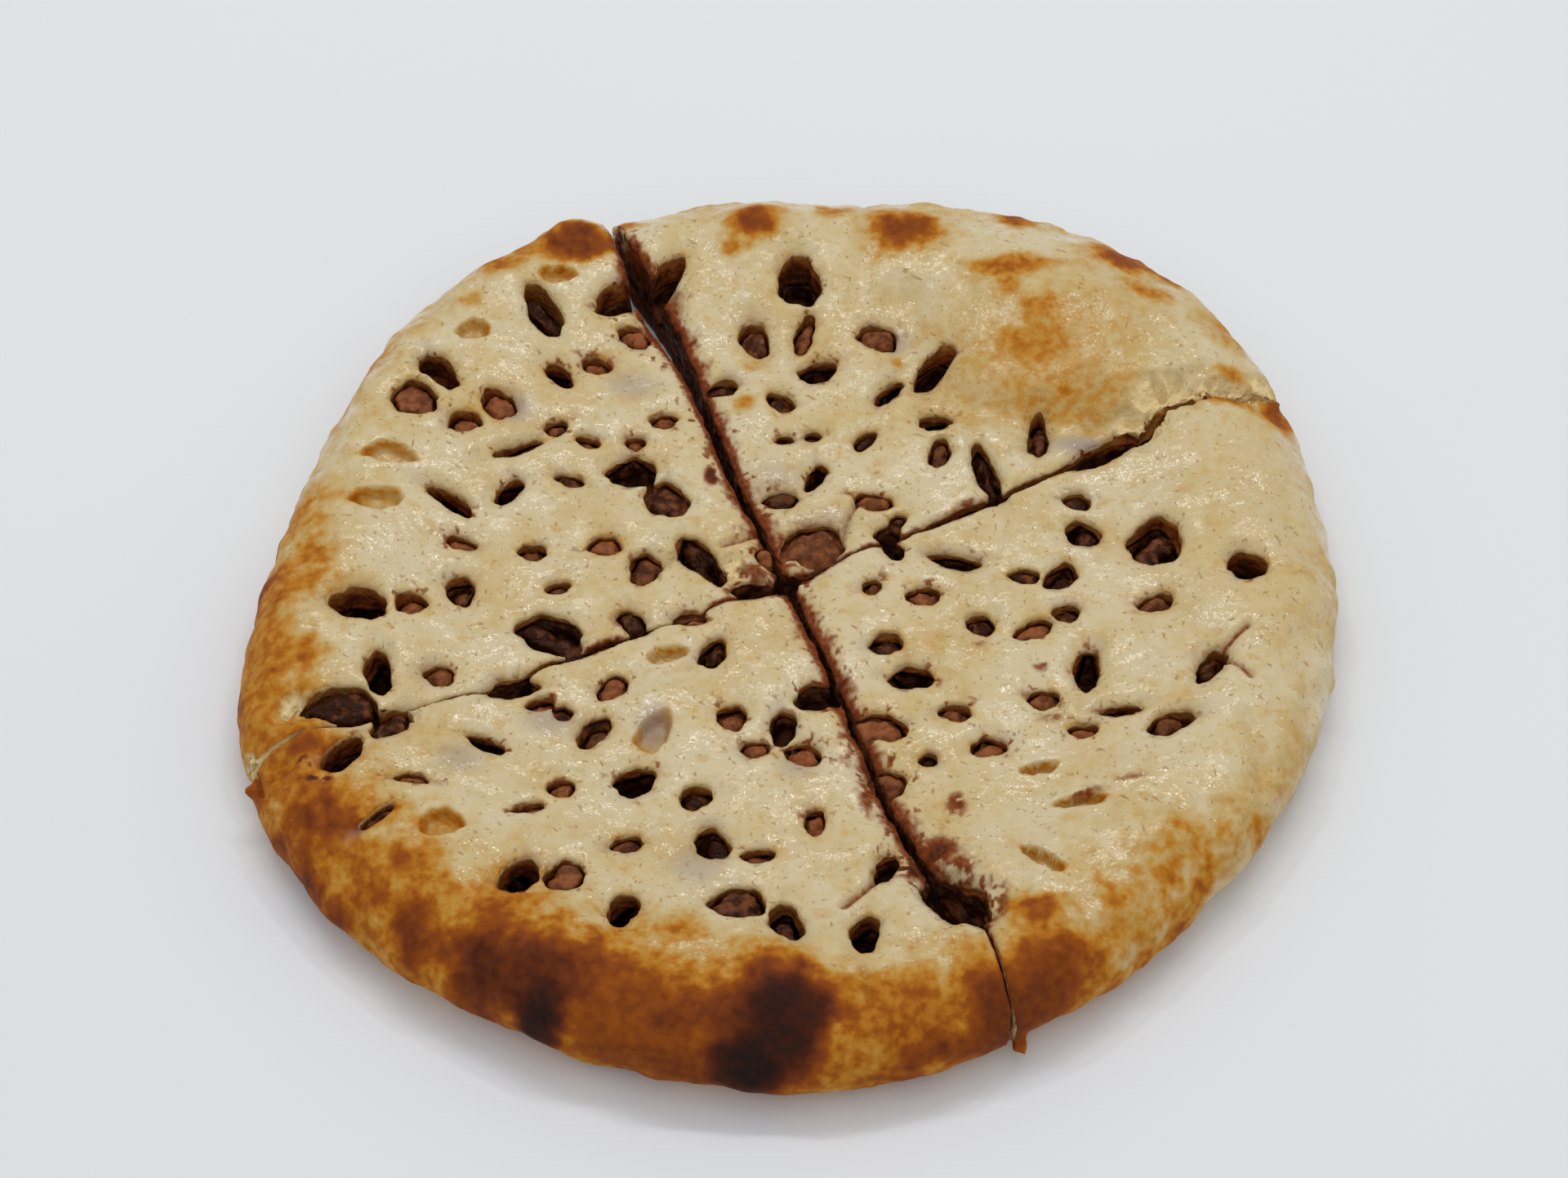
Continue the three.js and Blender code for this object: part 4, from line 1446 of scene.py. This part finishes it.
@dataclass
class ChocolateFilling:
    """The chocolate layer with its chips, cut into quarters."""

    voxel: float = 0.5
    passes: int = 2
    steps: int = 160
    seed: int = 17
    fill: float = 0.92
    flatness: float = 0.6
    most_lean: float = 0.35
    dome: float = 2.0
    large_hole: float = 44.0
    empty_chance: float = 0.6
    pit_floor: float = 5.4
    pit_size: float = 0.85
    off_side: float = 0.18
    small_lump: float = 0.7
    large_lumps: tuple = ((0.42, 1, 0.52), (-0.42, -1, 0.56))
    uneven: float = 0.3
    uneven_size: float = 0.8
    lump: float = 0.5
    ripple: float = 0.3
    most_proud: float = 0.15
    layer_tone: float = 0.25
    pit_tone: float = 0.05
    dark_tone: float = -0.05
    tone_range: float = 0.95
    tone_bend: float = 1.5

    def chip_pattern(self) -> Body:
        """The rounded chip that is copied, 1 mm in radius."""
        deselect_all()
        bpy.ops.mesh.primitive_ico_sphere_add(subdivisions=4, radius=MM)
        return bpy.context.object

    def chips(self) -> list[Body]:
        """The chips in the holes, fitted to their torn edges, as deep as their kind of hole says."""
        draw = np.random.default_rng(self.seed)
        pattern = self.chip_pattern()
        unit = raw_points(pattern)
        around = polar(unit)[0]
        level = np.sign(unit[:, 2]) * np.abs(unit[:, 2]) ** self.flatness
        root = FORM.filling_floor + 2 * FORM.clearance
        made = []
        for hole in HOLES:
            top = FORM.top_height(np.array([[hole.x, hole.y, 0.0]]))[0] - hole.kind.dip
            for shift, size in self.lumps(hole):
                lean = draw.uniform(-self.most_lean, self.most_lean, 2)
                lumpy = self.uneven * grain(unit, self.uneven_size, len(made) * 1.7, 2)
                uneven = 1 + unit[:, :2] @ lean + lumpy
                belly = top - draw.uniform(*hole.kind.drop) - self.dome
                height = belly + np.where(level > 0, self.dome * level * uneven, (belly - root) * level)
                spread = unit[:, :2] * hole.torn(around)[:, None] * size + shift
                chip = copy_of(pattern, "chip")
                sides = np.array([hole.length, hole.width]) / 2
                move_points(chip, hole.placed(spread * sides, height))
                made.append(chip)
        discard(pattern)
        return made

    def lumps(self, hole: Hole) -> list[tuple[tuple[float, float], float]]:
        """How the chocolate in a hole is broken up.

        Args:
            hole: The hole that it shows in.

        Returns:
            Shift along and across the hole and size of each lump, as shares of the hole's half sizes.
        """
        if hole.kind is HoleKind.DENT:
            return []
        if hole.kind is not HoleKind.OPEN:
            return [((0, 0), self.fill)]
        if hole.chance > self.empty_chance:
            return []
        side = math.copysign(self.off_side, math.sin(hole.x * 3.1 + hole.y))
        if hole.length * hole.width < self.large_hole:
            return [((0.25 - 0.5 * hole.chance, -side), self.small_lump)]
        return [((along, across * side), size) for along, across, size in self.large_lumps]

    def whole(self) -> Body:
        """The layer with all its chips, still in one piece."""
        slab = spun("filling", FORM.filling_section(FORM.clearance), self.steps)
        move_points(slab, FORM.place_filling(raw_points(slab), FORM.clearance))
        pits = Punches().cutters(HoleKind.OPEN, self.pit_floor, self.pit_size)
        combine(slab, pits, "DIFFERENCE")
        discard(pits)
        return joined([slab, *self.chips()], "filling")

    def quarter(self, name: str, whole: Body, prism: Body) -> Body:
        """One quarter of the layer.

        Args:
            name: Which one.
            whole: The layer in one piece.
            prism: The upright prism over that quarter.

        Returns:
            The finished mesh.
        """
        body = quarter_of(whole, prism, f"{name}_chocolate_melted", self.voxel, self.passes)
        points = points_of(body)
        lumps = self.lump * Grain.CHOCOLATE_LUMP.at(points) + self.ripple * Grain.CHOCOLATE_RIPPLE.at(points)
        move_points(body, points + normals_of(body) * np.minimum(lumps, self.most_proud)[:, None])
        tone = np.full(len(points), self.layer_tone)
        for hole in HOLES:
            bright = self.dark_tone + self.tone_range * hole.chance**self.tone_bend
            tone[hole.near(points, 0)] = bright if self.lumps(hole) else self.pit_tone
        paint(body, "tone", tone)
        return body


@dataclass
class DoughQuarters:
    """The four quarters of bread."""

    voxel: float = 0.46
    passes: int = 3
    most_triangles: int = 190_000
    hidden_weight: float = 1000.0
    hidden_margin: float = 0.6
    hidden_from_cut: float = 4
    hidden_share: float = 0.9
    hole_reach: float = 6.0
    skin_depth: float = 0.25
    crumb_depth: float = 0.9
    relief: CrustRelief = CrustRelief()
    colour: CrustColour = CrustColour()

    def plain(self, name: str, whole: Body, prism: Body) -> Body:
        """One quarter of the hollowed loaf with evenly small faces, still without relief."""
        return quarter_of(whole, prism, f"{name}_dough_baked", self.voxel, self.passes)

    def thin_hidden(self, body: Body, to_cut: Array) -> None:
        """Takes faces out of the hidden filling space and underside until the piece is light enough."""
        points = points_of(body)
        low = points[:, 2] < FORM.filling_top + self.hidden_margin
        hidden = low & (to_cut > self.hidden_from_cut) & (FORM.rim_share(points) < self.hidden_share)
        group = body.vertex_groups.new(name="hidden")
        group.add(np.flatnonzero(hidden).tolist(), 1.0, "REPLACE")
        triangles = 2 * len(body.data.polygons)
        ratio = min(1.0, self.most_triangles / triangles)
        weight = self.hidden_weight
        finish_with(body, "DECIMATE", ratio=ratio, vertex_group="hidden", vertex_group_factor=weight)
        body.vertex_groups.clear()

    def depths(self, points: Array, tree: BVHTree) -> Array:
        """How deep each point lies under a surface, in millimetres, negative outside."""
        places = (points - MIDDLE) * MM
        found = [(Vector(row), tree.find_nearest(Vector(row))) for row in places]
        return np.array([math.copysign(hit[3], (hit[0] - row).dot(hit[1])) for row, hit in found]) / MM

    def shape(self, body: Body, crust: BVHTree, cuts: CutLines, filling: BVHTree) -> None:
        """Gives a plain quarter its relief and paints what its finish reads.

        Args:
            body: The plain quarter.
            crust: The plain loaf's surface.
            cuts: The cut lines.
            filling: The chocolate's surface.
        """
        self.thin_hidden(body, cuts.survey(points_of(body))[0])
        points = points_of(body)
        depth = self.depths(points, crust)
        to_filling = np.abs(self.depths(points, filling))
        found = Survey(depth, *cuts.survey(points), *survey_holes(points, self.hole_reach), to_filling)
        crumb = smoothstep(depth, self.skin_depth, self.crumb_depth)
        paint(body, "inside", np.maximum(crumb, self.relief.torn(points)))
        paint(body, "soak", self.colour.soaked(points, found))
        # Chocolate smears, with painted shade at the bottom of the creases.
        paint(body, "smear_and_crease_shade", self.colour.stained(points, found))
        paint(body, "veil", self.colour.veiled(points, found))
        # Browning, with painted shade on the bubble's slope and a painted glow at the hole lips.
        paint(body, "bake_and_painted_light", self.colour.baked(points, found))
        move_points(body, self.relief.shape(points, normals_of(body), found))


def dress_piece(body: Body, material: Material, node: str) -> None:
    """Smooths a finished piece, gives it its material and lets it stand for its solid.

    Args:
        body: The finished mesh.
        material: Its material.
        node: The solid that it replaces.
    """
    take(body)
    body.data.materials.clear()
    body.data.materials.append(material)
    bpy.ops.object.shade_smooth()
    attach(body, "root")
    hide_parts(node)
    LOG.info("%s: %d faces, replaces %s", body.name, len(body.data.polygons), node)


@dataclass(frozen=True)
class Studio:
    """Pale floor, soft light from above and behind, and the camera."""

    aim: tuple = (-2.39, 11.42, 0.0)
    elevation: float = 48.5
    distance: float = 661.8
    lens: float = 82.5
    sensor: float = 36
    nearest: float = 0.01
    floor_radius: float = 4.0
    floor_sides: int = 96
    sky: float = 0.6
    sky_colour: tuple = (0.97, 0.985, 1.0, 1)
    lamps: tuple = (
        ("soft_key", (0.08, 0.16, 1.2), (0.9, 0.9), 1.0),
        ("soft_fill", (0.1, -0.9, 1.0), (1.2, 1.2), 1.5),
        ("left_strip", (-0.35, 0.5, 1.1), (0.3, 0.07), 1.3),
        ("middle_strip", (0.0, 0.5, 1.1), (0.3, 0.07), 1.3),
        ("right_strip", (0.35, 0.5, 1.1), (0.3, 0.07), 1.3),
    )

    def floor(self) -> None:
        """A wide disc that the bread lies on."""
        deselect_all()
        bpy.ops.mesh.primitive_circle_add(
            vertices=self.floor_sides, radius=self.floor_radius, fill_type="NGON"
        )
        floor = bpy.context.object
        floor.name = "floor"
        floor.data.materials.append(FloorFinish().material())

    def light(self, name: str, place: tuple, size: tuple[float, float], power: float) -> None:
        """A rectangular light that points at the bread.

        Args:
            name: Its name.
            place: Where it hangs, in metres.
            size: Its sides in metres.
            power: Its power in watts.
        """
        deselect_all()
        bpy.ops.object.light_add(type="AREA", location=place)
        lamp = bpy.context.object
        lamp.name = name
        lamp.data.shape = "RECTANGLE"
        lamp.data.size, lamp.data.size_y = size
        lamp.data.energy = power
        lamp.rotation_mode = "QUATERNION"
        lamp.rotation_quaternion = (-Vector(place)).to_track_quat("-Z", "Y")

    def world(self) -> None:
        """An even pale sky."""
        world = bpy.data.worlds.new("studio_sky")
        world.use_nodes = True
        background = next(node for node in world.node_tree.nodes if node.type == "BACKGROUND")
        background.inputs["Color"].default_value = self.sky_colour
        background.inputs["Strength"].default_value = self.sky
        bpy.context.scene.world = world

    def camera(self) -> None:
        """The camera that looks along +Y and down."""
        deselect_all()
        tilt = math.radians(self.elevation)
        back = Vector((0, -math.cos(tilt), math.sin(tilt)))
        aim = Vector(np.array(self.aim) - MIDDLE) * MM
        bpy.ops.object.camera_add(location=aim + back * self.distance * MM)
        camera = bpy.context.object
        camera.rotation_mode = "QUATERNION"
        camera.rotation_quaternion = (-back).to_track_quat("-Z", "Y")
        camera.data.lens = self.lens
        camera.data.sensor_width = self.sensor
        camera.data.clip_start = self.nearest
        bpy.context.scene.camera = camera

    def build(self) -> None:
        """Sets up floor, lights, sky, camera and plain colour handling."""
        self.floor()
        for lamp in self.lamps:
            self.light(*lamp)
        self.world()
        self.camera()
        bpy.context.scene.view_settings.view_transform = "Standard"


def surface_of(body: Body) -> BVHTree:
    """Search tree over a body's faces, in metres."""
    points = [vertex.co for vertex in body.data.vertices]
    return BVHTree.FromPolygons(points, [list(polygon.vertices) for polygon in body.data.polygons])


def main() -> None:
    """Builds the bread, its filling and the studio in order."""
    logging.basicConfig(level=logging.INFO, format="%(message)s")
    cuts = CutLines()
    loaf = Loaf()
    plain = loaf.whole()
    crust = surface_of(plain)
    discard(plain)
    hollowed = loaf.hollowed()
    filling = ChocolateFilling()
    chocolate = filling.whole()
    chocolate_surface = surface_of(chocolate)
    quarters = DoughQuarters()
    dough_finish = DoughFinish().material()
    chocolate_finish = ChocolateFinish().material()
    for quarter in Quarter:
        name = quarter.name.lower()
        prism = cuts.quarter_prism(quarter)
        piece = filling.quarter(name, chocolate, prism)
        dress_piece(piece, chocolate_finish, f"{name}_chocolate")
        bread = quarters.plain(name, hollowed, prism)
        quarters.shape(bread, crust, cuts, chocolate_surface)
        dress_piece(bread, dough_finish, f"{name}_dough")
        discard(prism)
    discard(hollowed, chocolate)
    Studio().build()


if __name__ == "__main__":
    main()
